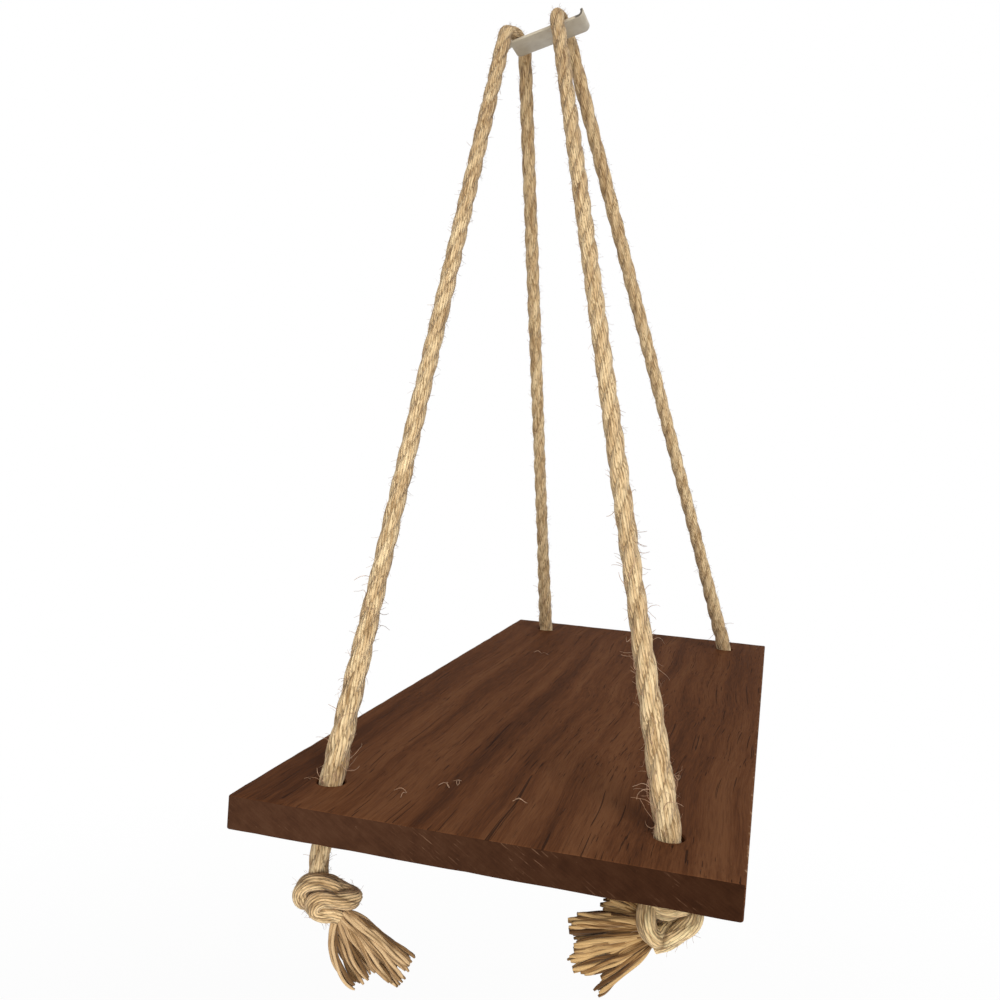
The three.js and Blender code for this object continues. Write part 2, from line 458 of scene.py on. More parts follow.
def new_material(name: str) -> tuple:
    """Start a material.

    Args:
        name: the material's name.

    Returns:
        The material, a Shader on its tree, its Principled BSDF and its output node.
    """
    material = bpy.data.materials.new(name)
    material.use_nodes = True
    material.node_tree.nodes.clear()
    s = Shader(material.node_tree)
    surface = s.node("BsdfPrincipled")
    return material, s, surface, s.node("OutputMaterial", {0: surface.outputs[0]})


@dataclass(frozen=True)
class StainedWood:
    """Brushed softwood with a dark red-brown stain, its grain along X."""

    groups: ShaderGroups
    place: "PlankPlace"
    pale: tuple = (0.148, 0.061, 0.026)
    middle: tuple = (0.104, 0.0385, 0.0155)
    dark: tuple = (0.056, 0.0205, 0.0090)
    crack: tuple = (0.014, 0.007, 0.005)
    scratch: tuple = (0.19, 0.105, 0.062)
    bare: tuple = (0.46, 0.30, 0.18)
    # Painted shade on the two end faces, which deepens from the wall to the front.
    end_shade: tuple = (0.56, 0.64, 0.80)
    end_shade_at_front: tuple = (0.31, 0.31, 0.33)
    worn_width: float = 1.2 * MM
    grain_wander: float = 14 * MM
    saw_slant: float = math.radians(-32)
    relief: float = 0.45 * MM

    def material(self) -> Material:
        """Build the material.

        Returns:
            The material.
        """
        material, s, surface, _ = new_material("stained_wood")
        coordinates = s.node("TexCoord").outputs
        position = coordinates["Object"]
        wander = s.node("TexNoise", {"Vector": position, "Scale": 7.0, "Detail": 2.0}).outputs[1]
        bent = s.vector_math("ADD", position, s.vector_math(
            "MULTIPLY", wander, (0.0, self.grain_wander, self.grain_wander)))
        fibres = partial(self.groups.fibres, s, bent)
        patches = partial(self.groups.patches, s, position)
        bands = fibres(across=95.0, lengthways=2.2, detail=3.0)
        brushed = fibres(across=1700.0, lengthways=75.0, detail=4.0)
        pores = fibres(across=1000.0, lengthways=60.0, detail=1.0)
        cracks = fibres(across=1300.0, lengthways=6.0, detail=1.0)
        splits = fibres(across=560.0, lengthways=1.1, detail=2.0)
        is_end = s.between(s.size(s.axes(coordinates["Normal"])[0]), 0.6, 0.8)
        is_face = s.minus(1.0, is_end)
        sawn = self.sawn(s, position)
        along_tone = s.plus(s.times(bands["Tone"], 0.62), s.times(brushed["Tone"], 0.38))
        blot = patches(scale=150.0, cover=0.50, softness=0.3)
        end_tone = s.minus(s.plus(s.times(sawn["Tone"], 0.18), 0.45), s.times(blot, 0.09))
        tone = s.number_mix(is_end, along_tone, end_tone)
        colour = s.ramp(tone, [(0.36, self.dark), (0.49, self.middle), (0.63, self.pale)])
        deep = s.times(pores["Dark"], s.number_mix(is_end, 0.30, 0.0))
        colour = s.mix(deep, colour, self.dark)
        open_crack = s.times(
            s.math("MAXIMUM", cracks["Crack"], splits["Crack"]), s.times(is_face, 0.7))
        colour = s.mix(open_crack, colour, self.crack)
        # Painted shade: the end faces are darkened, more so towards the front.
        colour = s.mix(1.0, colour, self.shade(s, position, is_end), "MULTIPLY")
        rough = patches(scale=22.0, cover=0.50, softness=0.1)
        nick = s.times(s.between(sawn["Tone"], 0.62, 0.74), s.times(is_end, s.times(rough, 0.6)))
        colour = s.mix(nick, colour, self.scratch)
        speck = s.times(patches(scale=620.0, cover=0.17, softness=0.05), 0.45)
        colour = s.mix(speck, colour, self.scratch)
        height = s.minus(s.minus(s.times(tone, 0.9), s.times(deep, 0.4)), open_crack)
        s.fill(surface, {
            "Base Color": s.mix(self.worn(s, position), colour, self.bare),
            "Roughness": s.plus(s.times(brushed["Tone"], 0.2), 0.66),
            "Specular IOR Level": 0.02,
            "Normal": s.bump(height, self.relief, 0.75),
        })
        return material

    def shade(self, s: Shader, position: object, is_end: object) -> NodeSocket:
        """White, but on the two ends a painted shade that darkens from the wall to the front."""
        to_front = s.between(s.axes(position)[1], self.place.high.y, self.place.low.y)
        return s.mix(is_end, WHITE, s.mix(to_front, self.end_shade, self.end_shade_at_front))

    def sawn(self, s: Shader, position: object) -> bpy.types.bpy_prop_collection:
        """Lay the saw's fine slanted scratches on the two ends.

        Args:
            s: the material's Shader.
            position: the socket of the position on the plank.

        Returns:
            The outputs of the streaks group.
        """
        slanted = s.node("Mapping", {"Vector": position, "Rotation": (self.saw_slant, 0.0, 0.0)})
        x, y, z = s.axes(slanted.outputs[0])
        return self.groups.fibres(
            s, s.vector(y, z, x), across=1500.0, lengthways=150.0, detail=2.0)

    def worn(self, s: Shader, position: object) -> NodeSocket:
        """Find the rubbed specks along the plank's upper front arris.

        Args:
            s: the material's Shader.
            position: the socket of the position on the plank.

        Returns:
            The mask's socket.
        """
        _, y, z = s.axes(position)
        down, inward = s.size(s.minus(z, self.place.high.z)), s.size(s.minus(y, self.place.low.y))
        near_arris = s.between(s.plus(down, inward), self.worn_width, 0.3 * self.worn_width)
        return s.times(near_arris, self.groups.patches(
            s, position, scale=260.0, cover=0.34, softness=0.12))


@dataclass(frozen=True)
class JuteYarn:
    """Dry jute yarn, a little darker and browner near where it bears on the hook, as painted shade.

    U of the UV map runs along a bar in metres and V round it. The attribute "own" is a tone for
    each bar, and "sunk" is painted shade for points that lie deep between the rope's
    strands, in a knot's creases or inside a tuft's clumps.
    """

    groups: ShaderGroups
    name: str
    yarns: int
    pale: tuple = (0.88, 0.67, 0.385)
    middle: tuple = (0.68, 0.465, 0.24)
    dark: tuple = (0.27, 0.155, 0.06)
    # Painted shade: the colour put in the valleys between yarns and between strands.
    valley_shade: tuple = (0.17, 0.095, 0.035)
    # Painted shade: a darker, browner multiplier near the hook, fading out along the legs.
    hook_shade: tuple = (0.82, 0.79, 0.76)
    groove_shade_share: float = 0.5
    fleck_share: float = 0.75
    lengthways: float = 210.0
    relief: float = 0.6 * MM
    sunk_share: float = 0.55
    own_share: float = 0.14
    unshaded_beyond: float = 95 * MM
    full_shade_within: float = 12 * MM

    def material(self) -> Material:
        """Build the material.

        Returns:
            The material.
        """
        material, s, surface, _ = new_material(self.name)
        coordinates = s.node("TexCoord").outputs
        u, v, _ = s.axes(coordinates["UV"])
        own = s.attribute("own")
        around = s.times(v, float(self.yarns))
        hump = s.size(s.math("SINE", s.times(around, math.pi)))
        yarn = s.plus(s.math("FLOOR", around), s.times(own, 50.0))
        on_run, on_yarn = s.vector(s.times(u, 75.0), s.times(yarn, 3.7)), s.vector(u, v, own)
        yarn_tone = s.node("TexNoise", {"Vector": on_run, "Scale": 1.0, "Detail": 2.0}).outputs[0]
        fibres = partial(self.groups.fibres, s, on_yarn)
        streaks = fibres(4.0 * self.yarns, self.lengthways, detail=3.0)
        flecks = fibres(1.8 * self.yarns, 1.6 * self.lengthways, detail=2.0)
        tone = s.plus(s.times(yarn_tone, 0.5), s.times(streaks["Tone"], 0.5))
        tone = s.plus(tone, s.times(s.minus(own, 0.5), self.own_share))
        colour = s.ramp(tone, [(0.35, self.dark), (0.46, self.middle), (0.57, self.pale)])
        slit = s.times(s.between(flecks["Tone"], 0.45, 0.38), self.fleck_share)
        colour = s.mix(slit, colour, self.dark)
        broken = s.plus(s.times(s.between(flecks["Tone"], 0.56, 0.44), 0.7), 0.3)
        # Painted shade in the grooves between yarns, broken up by the flecks.
        groove = s.times(s.between(hump, 0.5, 0.0), self.groove_shade_share)
        colour = s.mix(s.times(groove, broken), colour, self.valley_shade)
        # Painted shade where a point lies deep between strands, in a knot's creases or inside a
        # clump.
        colour = s.mix(s.times(s.attribute("sunk"), self.sunk_share), colour, self.valley_shade)
        # Painted shade, darker and browner towards the hook.
        side = s.size(s.axes(coordinates["Object"])[0])
        hook_shade = s.mix(s.between(side, self.unshaded_beyond, self.full_shade_within), WHITE, self.hook_shade)
        height = s.plus(s.times(s.math("POWER", hump, 0.6), 0.6), s.times(streaks["Tone"], 0.8))
        s.fill(surface, {
            "Base Color": s.mix(1.0, colour, hook_shade, "MULTIPLY"),
            "Roughness": 0.92,
            "Specular IOR Level": 0.15,
            "Sheen Weight": 0.12,
            "Normal": s.bump(height, self.relief, 0.9),
        })
        return material


@dataclass(frozen=True)
class HookPaint:
    """Off-white paint, dimmed as painted shade and soiled in patches.

    Along the rolled lip it is worn through to bare metal in patches, with painted shade inside
    the curl.
    """

    groups: ShaderGroups
    arm: "ArmPlace"
    # Painted shade: the paint is dimmed from off-white to grey-beige to stand for the strip's
    # shaded underside.
    paint_dimmed_as_shade: tuple = (0.48, 0.42, 0.315)
    soiled: tuple = (0.36, 0.30, 0.22)
    # Nearly black: steel where the paint is worn through, and painted shade inside the lip's curl.
    steel_and_shade: tuple = (0.045, 0.036, 0.026)
    lip_dark_from: float = 2.5 * MM
    lip_dark_fully: float = 1.0 * MM

    def material(self) -> Material:
        """Build the material.

        Returns:
            The material.
        """
        material, s, surface, _ = new_material("hook_paint")
        coordinates = s.node("TexCoord").outputs
        position = coordinates["Object"]
        patches = partial(self.groups.patches, s, position)
        dirt = patches(scale=160.0, cover=0.42, softness=0.4)
        colour = s.mix(s.times(dirt, 0.6), self.paint_dimmed_as_shade, self.soiled)
        out = s.vector_math("DOT_PRODUCT", position, self.arm.out)
        facing = s.vector_math("DOT_PRODUCT", coordinates["Normal"], self.arm.out - self.arm.up)
        # Dark on the curl's inner faces: worn paint in patches and painted shade inside the curl.
        on_lip = s.between(out, self.arm.reach - self.lip_dark_from, self.arm.reach - self.lip_dark_fully)
        scuffed = patches(scale=420.0, cover=0.85, softness=0.3)
        curled = s.times(on_lip, s.between(facing, 0.45, 0.2))
        bare = s.times(s.times(curled, scuffed), 0.92)
        orange_peel = s.node("TexNoise", {"Vector": position, "Scale": 700.0}).outputs[0]
        s.fill(surface, {
            "Base Color": s.mix(bare, colour, self.steel_and_shade),
            "Roughness": s.plus(s.times(dirt, 0.2), 0.36),
            "Normal": s.bump(orange_peel, 0.05 * MM, 0.4),
        })
        return material


# Camera, lamps and floor


@dataclass(frozen=True)
class ViewCamera:
    """The camera that looks at the shelf's near end."""

    place: tuple = (-0.5285, -0.1668, -0.2130)
    forward: tuple = (0.96159, 0.26921, -0.05363)
    up: tuple = (0.03523, 0.07272, 0.99673)
    lens: float = 35.5
    sensor: float = 36.0

    def make(self) -> None:
        """Make it the scene's camera."""
        data = bpy.data.cameras.new("view_camera")
        data.lens, data.sensor_width = self.lens, self.sensor
        data.clip_start = 10 * MM
        camera = linked("view_camera", data)
        back = -Vector(self.forward)
        right = Vector(self.up).cross(back).normalized()
        turn = Matrix((right, back.cross(right), back)).transposed().to_4x4()
        camera.matrix_world = Matrix.Translation(self.place) @ turn
        bpy.context.scene.camera = camera


@dataclass(frozen=True)
class Studio:
    """A pale floor, a soft key lamp, two weaker fills and an even sky."""

    floor_drop: float = 0.95
    floor_size: float = 14.0
    lamps: tuple = (
        ("key_lamp", (-2.0, -1.7, 1.5), 59.0, 1.5),
        ("wall_fill_lamp", (-1.2, 0.9, 0.1), 3.5, 0.9),
        ("low_fill_lamp", (-1.6, -0.5, -0.6), 9.5, 0.9),
    )
    aim: tuple = (0.0, -0.06, -0.25)
    pale: tuple = (0.86, 0.85, 0.84)
    white_share: float = 0.93
    white_from: float = 0.5
    white_fully: float = 1.6
    sky_strength: float = 0.51

    def make(self) -> None:
        """Build the floor, the lamps and the world."""
        bm = bmesh.new()
        bmesh.ops.create_circle(bm, cap_ends=True, radius=self.floor_size, segments=64)
        bmesh.ops.translate(bm, verts=bm.verts, vec=-UP * self.floor_drop)
        mesh = as_mesh("floor", bm)
        mesh.materials.append(self.floor_material())
        linked("floor", mesh)
        for lamp in self.lamps:
            self.lamp(*lamp)
        self.sky()

    def floor_material(self) -> Material:
        """Make a pale floor that shows the shelf's shadow, and runs out into white further off.

        Returns:
            The material.
        """
        material, s, surface, output = new_material("floor")
        s.fill(surface, {"Base Color": self.pale, "Roughness": 0.9, "Specular IOR Level": 0.1})
        white = s.node("Emission", {"Color": WHITE, "Strength": 1.0})
        level = s.vector_math("MULTIPLY", s.node("TexCoord").outputs["Object"], (1.0, 1.0, 0.0))
        off = s.between(s.vector_math("LENGTH", level), self.white_from, self.white_fully)
        share = s.plus(s.times(off, 1 - self.white_share), self.white_share)
        blend = s.node("MixShader", {
            0: s.times(share, s.seen()), 1: surface.outputs[0], 2: white.outputs[0],
        })
        s.fill(output, {0: blend.outputs[0]})
        return material

    def lamp(self, name: str, place: tuple, watts: float, size: float) -> None:
        """Hang a square lamp that points at the shelf.

        Args:
            name: the lamp's name.
            place: where it hangs.
            watts: how strong it is.
            size: how long its sides are.
        """
        data = bpy.data.lights.new(name, "AREA")
        data.energy, data.size = watts, size
        lamp = linked(name, data)
        lamp.location = place
        lamp.rotation_mode = "QUATERNION"
        lamp.rotation_quaternion = (Vector(self.aim) - Vector(place)).to_track_quat("-Z", "Y")

    def sky(self) -> None:
        """Light evenly from all round, and show white to the camera and in reflections."""
        world = bpy.data.worlds.new("sky")
        world.use_nodes = True
        bpy.context.scene.world = world
        s = Shader(world.node_tree)
        strength = s.plus(s.times(s.seen(), 1.0 - self.sky_strength), self.sky_strength)
        s.fill(world.node_tree.nodes["Background"], {0: WHITE, 1: strength})


# The lines the ropes follow


@dataclass(frozen=True)
class Corner:
    """One corner of the plank, and how its rope hangs out below."""

    end: End
    row: Row
    free_rope: float
    lean: float

    @property
    def name(self) -> str:
        """The corner's name, as the solids use it."""
        return f"{self.end.name}_{self.row.name}".lower()


CORNERS = {
    (corner.end, corner.row): corner
    for corner in (
        Corner(End.NEAR, Row.WALL, 23.3 * MM, 3.5 * MM),
        Corner(End.NEAR, Row.FRONT, 5.1 * MM, 0.0),
        Corner(End.FAR, Row.WALL, 8.3 * MM, 1 * MM),
        Corner(End.FAR, Row.FRONT, 6.3 * MM, 0.0),
    )
}


@dataclass(frozen=True)
class PlankPlace:
    """Where the plank and its holes are, from the solid."""

    low: Vector
    high: Vector
    hole_end_inset: float = 29.5 * MM
    hole_edge_inset: float = 27.5 * MM
    hole_radius: float = 5.55 * MM

    @property
    def centre(self) -> Vector:
        """The middle of the plank's top."""
        middle = (self.low + self.high) / 2
        return Vector((middle.x, middle.y, self.high.z))

    @property
    def thickness(self) -> float:
        """The plank's thickness."""
        return self.high.z - self.low.z

    def hole(self, end: End, row: Row) -> Vector:
        """The top of a hole's axis."""
        half = (self.high - self.low) / 2
        return self.centre + Vector((
            end.value * (half.x - self.hole_end_inset), row.value * (half.y - self.hole_edge_inset),
            0.0,
        ))


@dataclass(frozen=True)
class ArmPlace:
    """The hook arm's strip: how it rises, and its directions out from the wall and up."""

    width: float = 19 * MM
    thickness: float = 1.5 * MM
    reach: float = 50.5 * MM
    corner_radius: float = 2.5 * MM
    rise: float = math.radians(18)
    tab_width: float = 5 * MM
    tab_length: float = 11.8 * MM
    lip_radius: float = 1.8 * MM
    lip_turn: float = math.radians(105)

    @property
    def out(self) -> Vector:
        """The direction along the strip, away from the wall."""
        return Vector((0.0, -math.cos(self.rise), math.sin(self.rise)))

    @property
    def up(self) -> Vector:
        """The strip's upward normal."""
        return Vector((0.0, math.sin(self.rise), math.cos(self.rise)))


@dataclass(frozen=True)
class ViewFrame:
    """Three directions square to each other, in which a knot and its tuft are laid out."""

    turn: float
    view_right: Vector = Vector((0.2722, -0.9603, 0.0604))
    view_up: Vector = Vector((0.0352, 0.0727, 0.9967))

    @property
    def axes(self) -> tuple[Vector, Vector, Vector]:
        """Find its directions, turned round the vertical.

        Returns:
            Right, up and toward whoever looks at the knot.
        """
        turn = Quaternion(UP, self.turn)
        right, up = turn @ self.view_right, turn @ self.view_up
        return right, up, right.cross(up)

    def place(self, start: Vector, offset: tuple) -> Vector:
        """A point that lies some millimetres right, up and toward from a start."""
        return along(start, *((axis, MM * size) for axis, size in zip(self.axes, offset)))

    def direction(self, offset: tuple) -> Vector:
        """A unit direction from its parts right, up and toward."""
        return self.place(Vector(), offset).normalized()


@dataclass(frozen=True)
class TiedEnd:
    """One rope's end under the plank: the way of its knot, and where its yarns part to.

    Every place is in millimetres right, up and toward the viewer from the knot's middle. Each of
    the tuft's clumps has its end, how many yarns are in it and, if need be, its bow.
    """

    frame: ViewFrame
    rope_end: tuple
    way: tuple
    neck: tuple
    clumps: tuple

    def line(self, rope_end: Vector) -> list[Vector]:
        """The knot's way as points, from the end of the straight rope."""
        middle = self.middle(rope_end)
        return [rope_end.copy(), *(self.frame.place(middle, place) for place in self.way)]

    def middle(self, rope_end: Vector) -> Vector:
        """The middle of the knot."""
        return self.frame.place(rope_end, tuple(-size for size in self.rope_end))


WALL_KNOT = (
    (-2.3, 4.2, -3.2), (-3.0, -1.0, -4.6), (-6.0, -4.0, -2.8),
    (-8.8, -2.5, -0.3), (-9.3, 1.2, 0.8), (-6.8, 4.9, 2.4), (-2.3, 6.6, 4.0), (1.8, 5.4, 3.4),
    (4.8, 2.2, 0.2), (7.4, -0.2, -3.0), (10.0, -1.6, -2.6), (10.6, -1.6, 0.8), (7.2, -0.9, 3.9),
    (3.2, -0.1, 4.8), (-0.8, 0.4, 5.2), (-3.6, -1.5, 4.8), (-3.8, -4.4, 3.6), (-0.8, -6.1, 2.6),
    (2.6, -6.8, 1.6), (5.0, -8.2, 0.6),
)
WALL_CLUMPS = (
    (12.1, -35.1, 2.0, 4, 2.6), (14.8, -34.8, -0.5, 4, 2.0), (17.2, -32.4, 1.0, 4, 1.0),
    (25.8, -33.5, 3.0, 4), (28.5, -35.5, 1.0, 4), (30.8, -32.0, 3.5, 4), (32.4, -29.2, 1.5, 4),
    (33.2, -27.2, 3.0, 4, 0.4), (34.0, -25.2, 0.5, 4, 0.2), (31.6, -25.2, -2.5, 4, 0.2),
    (22.0, -31.8, -3.0, 4), (13.6, -33.4, -2.2, 4, 1.5),
    (28.0, -30.8, -3.5, 4), (31.0, -26.3, -4.0, 4), (20.5, -29.5, 0.0, 4), (16.0, -28.5, -1.0, 4),
)
FRONT_KNOT = (
    (-1.8, 6.5, -2.5), (-3.4, 0.8, -3.4), (1.6, -2.8, -4.6), (8.6, 1.0, -1.8), (8.0, 4.0, 0.8),
    (4.0, 4.8, 2.6), (-1.0, 3.8, 3.2), (-6.6, 5.0, 1.5), (-8.2, 1.5, 3.8), (-7.6, -2.5, 4.8),
    (-5.0, -5.4, 4.4), (-2.0, -4.2, 1.4), (3.0, -1.6, -0.6), (8.0, 0.5, -1.0), (8.9, 2.0, 1.5),
    (7.6, -0.4, 3.2), (3.4, -3.6, 4.0), (-1.2, -6.4, 3.6), (-5.2, -8.2, 2.0),
)
FRONT_CLUMPS = (
    (-33.1, 0.5, 1.0, 5, 0.3), (-33.6, -0.8, 2.4, 5, 0.3), (-29.5, 0.4, 0.2, 5, 0.2),
    (-35.3, -1.3, 2.0, 5), (-36.0, -5.0, 0.0, 5), (-33.5, -8.6, 2.5, 5),
    (-30.5, -10.2, 0.8, 5, 0.4), (-34.4, -11.4, 1.0, 5), (-35.6, -14.8, 0.5, 5),
    (-34.8, -17.8, 2.0, 5), (-31.0, -18.4, 3.0, 4), (-28.0, -19.4, 1.0, 4),
    (-24.5, -21.4, 2.5, 4, 0.3), (-25.8, -25.0, 3.5, 4, 0.3), (-22.3, 8.0, -5.0, 5),
    (-21.0, 5.5, -4.0, 5), (-23.5, 3.0, -4.5, 4), (-22.6, 1.2, -4.0, 5),
    (-33.0, -0.6, -3.0, 4, 0.3), (-33.5, -4.0, -3.5, 4), (-33.0, -9.0, -3.0, 4),
    (-31.5, -14.0, -3.0, 4), (-29.0, -16.5, -2.0, 4),
)
TIED_ENDS = {
    (end, row): TiedEnd(ViewFrame(math.radians(turn)), *tied)
    for row, far_turn, tied in (
        (Row.WALL, -57, ((-3.1, 9.2, 0.0), WALL_KNOT, (5.5, -7.8, 0.6), WALL_CLUMPS)),
        (Row.FRONT, -45, ((-0.9, 11.0, 0.0), FRONT_KNOT, (-5.5, -3.5, 0.5), FRONT_CLUMPS)),
    )
    for end, turn in ((End.NEAR, 0), (End.FAR, far_turn))
}


@dataclass(frozen=True)
class RopeRun:
    """The line of one rope, from under a near hole, over the arm, to under a far hole."""

    row: Row
    crossing: float
    skew: float
    plank: PlankPlace
    arm: ArmPlace
    radius: float = 4.25 * MM
    bend_radius: float = 20 * MM
    gap: float = 0.3 * MM
    arch: float = 1.8 * MM
    mouth_clearance: float = 0.4 * MM
    sway: float = math.radians(5)
    bend_start_share: float = 0.44
    crossing_steps: int = 4
    leg_steps: int = 13
    hole_steps: int = 4
    settle_rounds: int = 4

    def half(self, end: End) -> list[Vector]:
        """One half of the line.

        Args:
            end: the plank's end that it goes down to.

        Returns:
            Its points, from the middle of its arch over the arm down to the rope's end.
        """
        corner = CORNERS[end, self.row]
        out, up = self.arm.out, self.arm.up
        saddle = along(Vector(), (out, self.crossing), (up, self.arm.thickness / 2))
        hole = self.plank.hole(end, self.row)
        middle = Vector((0.0, hole.y, hole.z))
        rise = (saddle - middle).normalized()
        bend = (self.radius + self.gap) / rise.dot(up)
        corner_x = self.arm.width / 2 * math.cos(self.sway)
        corner_rise = self.arm.width / 2 * math.sin(self.sway)
        skew_share = self.skew / (self.arm.width + 2 * self.radius)

        def over_arm(angle: float) -> Vector:
            """The point at an angle round the arm's edge."""
            x = end.value * (corner_x + bend * math.cos(angle))
            return along(saddle, (ALONG, x), (rise, corner_rise + bend * math.sin(angle)),
                         (out, x * skew_share))

        bend_start = hole - UP * self.bend_start_share * self.plank.thickness
        leg_angle = lift = 0.0
        heading = Vector()
        for _ in range(self.settle_rounds):
            heading = over_arm(leg_angle) - bend_start
            heading.z -= self.bend_radius * math.tan(lift / 2)
            leg_angle = math.atan2(-end.value * heading.x, heading.dot(rise))
            lift = math.acos(heading.z / heading.length)
        inward = Vector((heading.x, heading.y, 0.0)).normalized()

        def on_bend(angle: float) -> Vector:
            """The point at an angle round the bend into the hole."""
            return along(bend_start, (inward, self.bend_radius * (1 - math.cos(angle))),
                         (UP, self.bend_radius * math.sin(angle)))

        quarter = math.pi / 2
        points = [along(saddle, (rise, corner_rise + bend + self.arch))]
        points += [
            over_arm(quarter + i / self.crossing_steps * (leg_angle - quarter))
            for i in range(self.crossing_steps + 1)
        ]
        top, foot = points[-1], on_bend(lift)
        points += [top.lerp(foot, i / self.leg_steps) for i in range(1, self.leg_steps)]
        points += [on_bend(lift * i / self.hole_steps) for i in range(self.hole_steps, -1, -1)]
        room = self.plank.hole_radius - self.radius - self.mouth_clearance
        under_hole = Vector((hole.x, hole.y, self.plank.low.z))
        mouth = along(under_hole, (TO_WALL, min(corner.lean, room)))
        finish = along(under_hole, (-UP, corner.free_rope), (TO_WALL, corner.lean))
        return points + [mouth, mouth.lerp(finish, 0.5), finish]


class EvenLine:
    """A smooth line through given points, with evenly spaced samples and steady frames."""

    def __init__(self, points: list[Vector], step: float) -> None:
        """Sample the line.

        Args:
            points: what the line goes through.
            step: about how far apart its samples are.
        """
        dense = self.smooth(points, step)
        lengths = [0.0]
        for a, b in zip(dense, dense[1:]):
            lengths.append(lengths[-1] + (b - a).length)
        self.length = lengths[-1]
        count = max(2, round(self.length / step))
        self.step = self.length / count
        self.points: list[Vector] = []
        at = 0
        for i in range(count + 1):
            wanted = min(self.length, i * self.step)
            while at < len(lengths) - 2 and lengths[at + 1] < wanted:
                at += 1
            span = lengths[at + 1] - lengths[at]
            self.points.append(dense[at].lerp(dense[at + 1], (wanted - lengths[at]) / span))
        self.tangents = [
            (self.points[min(i + 1, count)] - self.points[max(i - 1, 0)]).normalized()
            for i in range(count + 1)
        ]
        side = self.tangents[0].orthogonal().normalized()
        self.sides = [side]
        for before, after in zip(self.tangents, self.tangents[1:]):
            side = before.rotation_difference(after) @ side
            side = (side - after * side.dot(after)).normalized()
            self.sides.append(side)

    @staticmethod
    def smooth(points: list[Vector], step: float) -> list[Vector]:
        """Lay a centripetal curve through points.

        Args:
            points: the points.
            step: about twice as long as the curve's pieces are to be.

        Returns:
            The ends of the curve's pieces.
        """
        ends = [2 * points[0] - points[1], *points, 2 * points[-1] - points[-2]]
        dense: list[Vector] = []
        for p0, p1, p2, p3 in zip(ends, ends[1:], ends[2:], ends[3:]):
            d0, d1, d2 = (max(1e-4, (b - a).length ** 0.5)
                          for a, b in ((p0, p1), (p1, p2), (p2, p3)))
            out = ((p1 - p0) / d0 - (p2 - p0) / (d0 + d1) + (p2 - p1) / d1) * d1
            into = ((p2 - p1) / d1 - (p3 - p1) / (d1 + d2) + (p3 - p2) / d2) * d1
            count = max(2, math.ceil(2 * (p2 - p1).length / step))
            dense += interpolate_bezier(p1, p1 + out / 3, p2 - into / 3, p2, count + 1)[:-1]
        return [*dense, points[-1]]

    def around(self, i: int, angle: float) -> Vector:
        """The direction square to the line at sample i, at an angle round it."""
        return (self.sides[i] * math.cos(angle)
                + self.tangents[i].cross(self.sides[i]) * math.sin(angle))

    def index(self, length: float) -> int:
        """The sample at a length along the line."""
        return min(len(self.points) - 1, max(0, round(length / self.step)))


# Sweeping bars along lines


@dataclass
class Bar:
    """One bar to sweep.

    Its section turns by `twist` in each metre. A strand of a rope also has the rope's middle and
    the rope's size, as a share, at each of its points, and the two distances from the middle of
    a full-sized rope between which it comes out of the valleys and its painted shade fades.
    """

    line: list[Vector]
    radii: list[float]
    own: float
    twist: float = 0.0
    core: list[Vector] | None = None
    sizes: list[float] | None = None
    valley_shade: tuple[float, float] = (0.0, 1.0)


def ridged_section(ridges: int, per_ridge: int, depth: float) -> Object:
    """A closed outline of unit radius with yarns side by side round it.

    Args:
        ridges: how many yarns show round it.
        per_ridge: how many points each has.
        depth: how deep the grooves between them are, as a share of the radius.

    Returns:
        A curve object to bevel with.
    """
    data = bpy.data.curves.new("section", "CURVE")
    data.dimensions = "2D"
    spline = data.splines.new("POLY")
    count = ridges * per_ridge
    spline.points.add(count - 1)
    spline.use_cyclic_u = True
    for i, point in enumerate(spline.points):
        hump = abs(math.sin(math.pi * i / per_ridge))
        radius = 1 - depth * (1 - hump)
        angle = TURN * i / count
        point.co = (radius * math.cos(angle), radius * math.sin(angle), 0.0, 1.0)
    return linked("section", data)


def sweep(name: str, bars: list[Bar], section: Object) -> Mesh:
    """Sweep a section along lines, closed at their ends.

    Args:
        name: the mesh's name.
        bars: the lines, with a radius at each point.
        section: the outline to sweep, of unit radius. It is used up.

    Returns:
        One smooth mesh, whose UV map runs in metres along each bar and from 0 to 1 round it, with
        the attributes "own" and "sunk", a painted shade.
    """
    data = bpy.data.curves.new(name, "CURVE")
    data.dimensions = "3D"
    data.twist_mode = "MINIMUM"
    data.bevel_mode = "OBJECT"
    data.bevel_object = section
    sides = len(section.data.splines[0].points)
    runs = []
    for bar in bars:
        spline = data.splines.new("POLY")
        spline.points.add(len(bar.line) - 1)
        place = np.array(bar.line)
        run = np.concatenate(([0.0], np.cumsum(np.linalg.norm(np.diff(place, axis=0), axis=1))))
        flat = np.hstack((place, np.ones((len(place), 1)))).ravel()
        spline.points.foreach_set("co", flat.tolist())
        spline.points.foreach_set("radius", bar.radii)
        spline.points.foreach_set("tilt", (run * bar.twist).tolist())
        runs.append(run)
    swept = linked(name, data)
    graph = bpy.context.evaluated_depsgraph_get()
    mesh = bpy.data.meshes.new_from_object(swept.evaluated_get(graph))
    mesh.name = name
    for spent in (swept, section):
        bpy.data.objects.remove(spent)
    bpy.data.curves.remove(data)
    store_places(mesh, bars, runs, sides)
    close_ends(mesh, bars, sides)
    return smoothed(mesh)


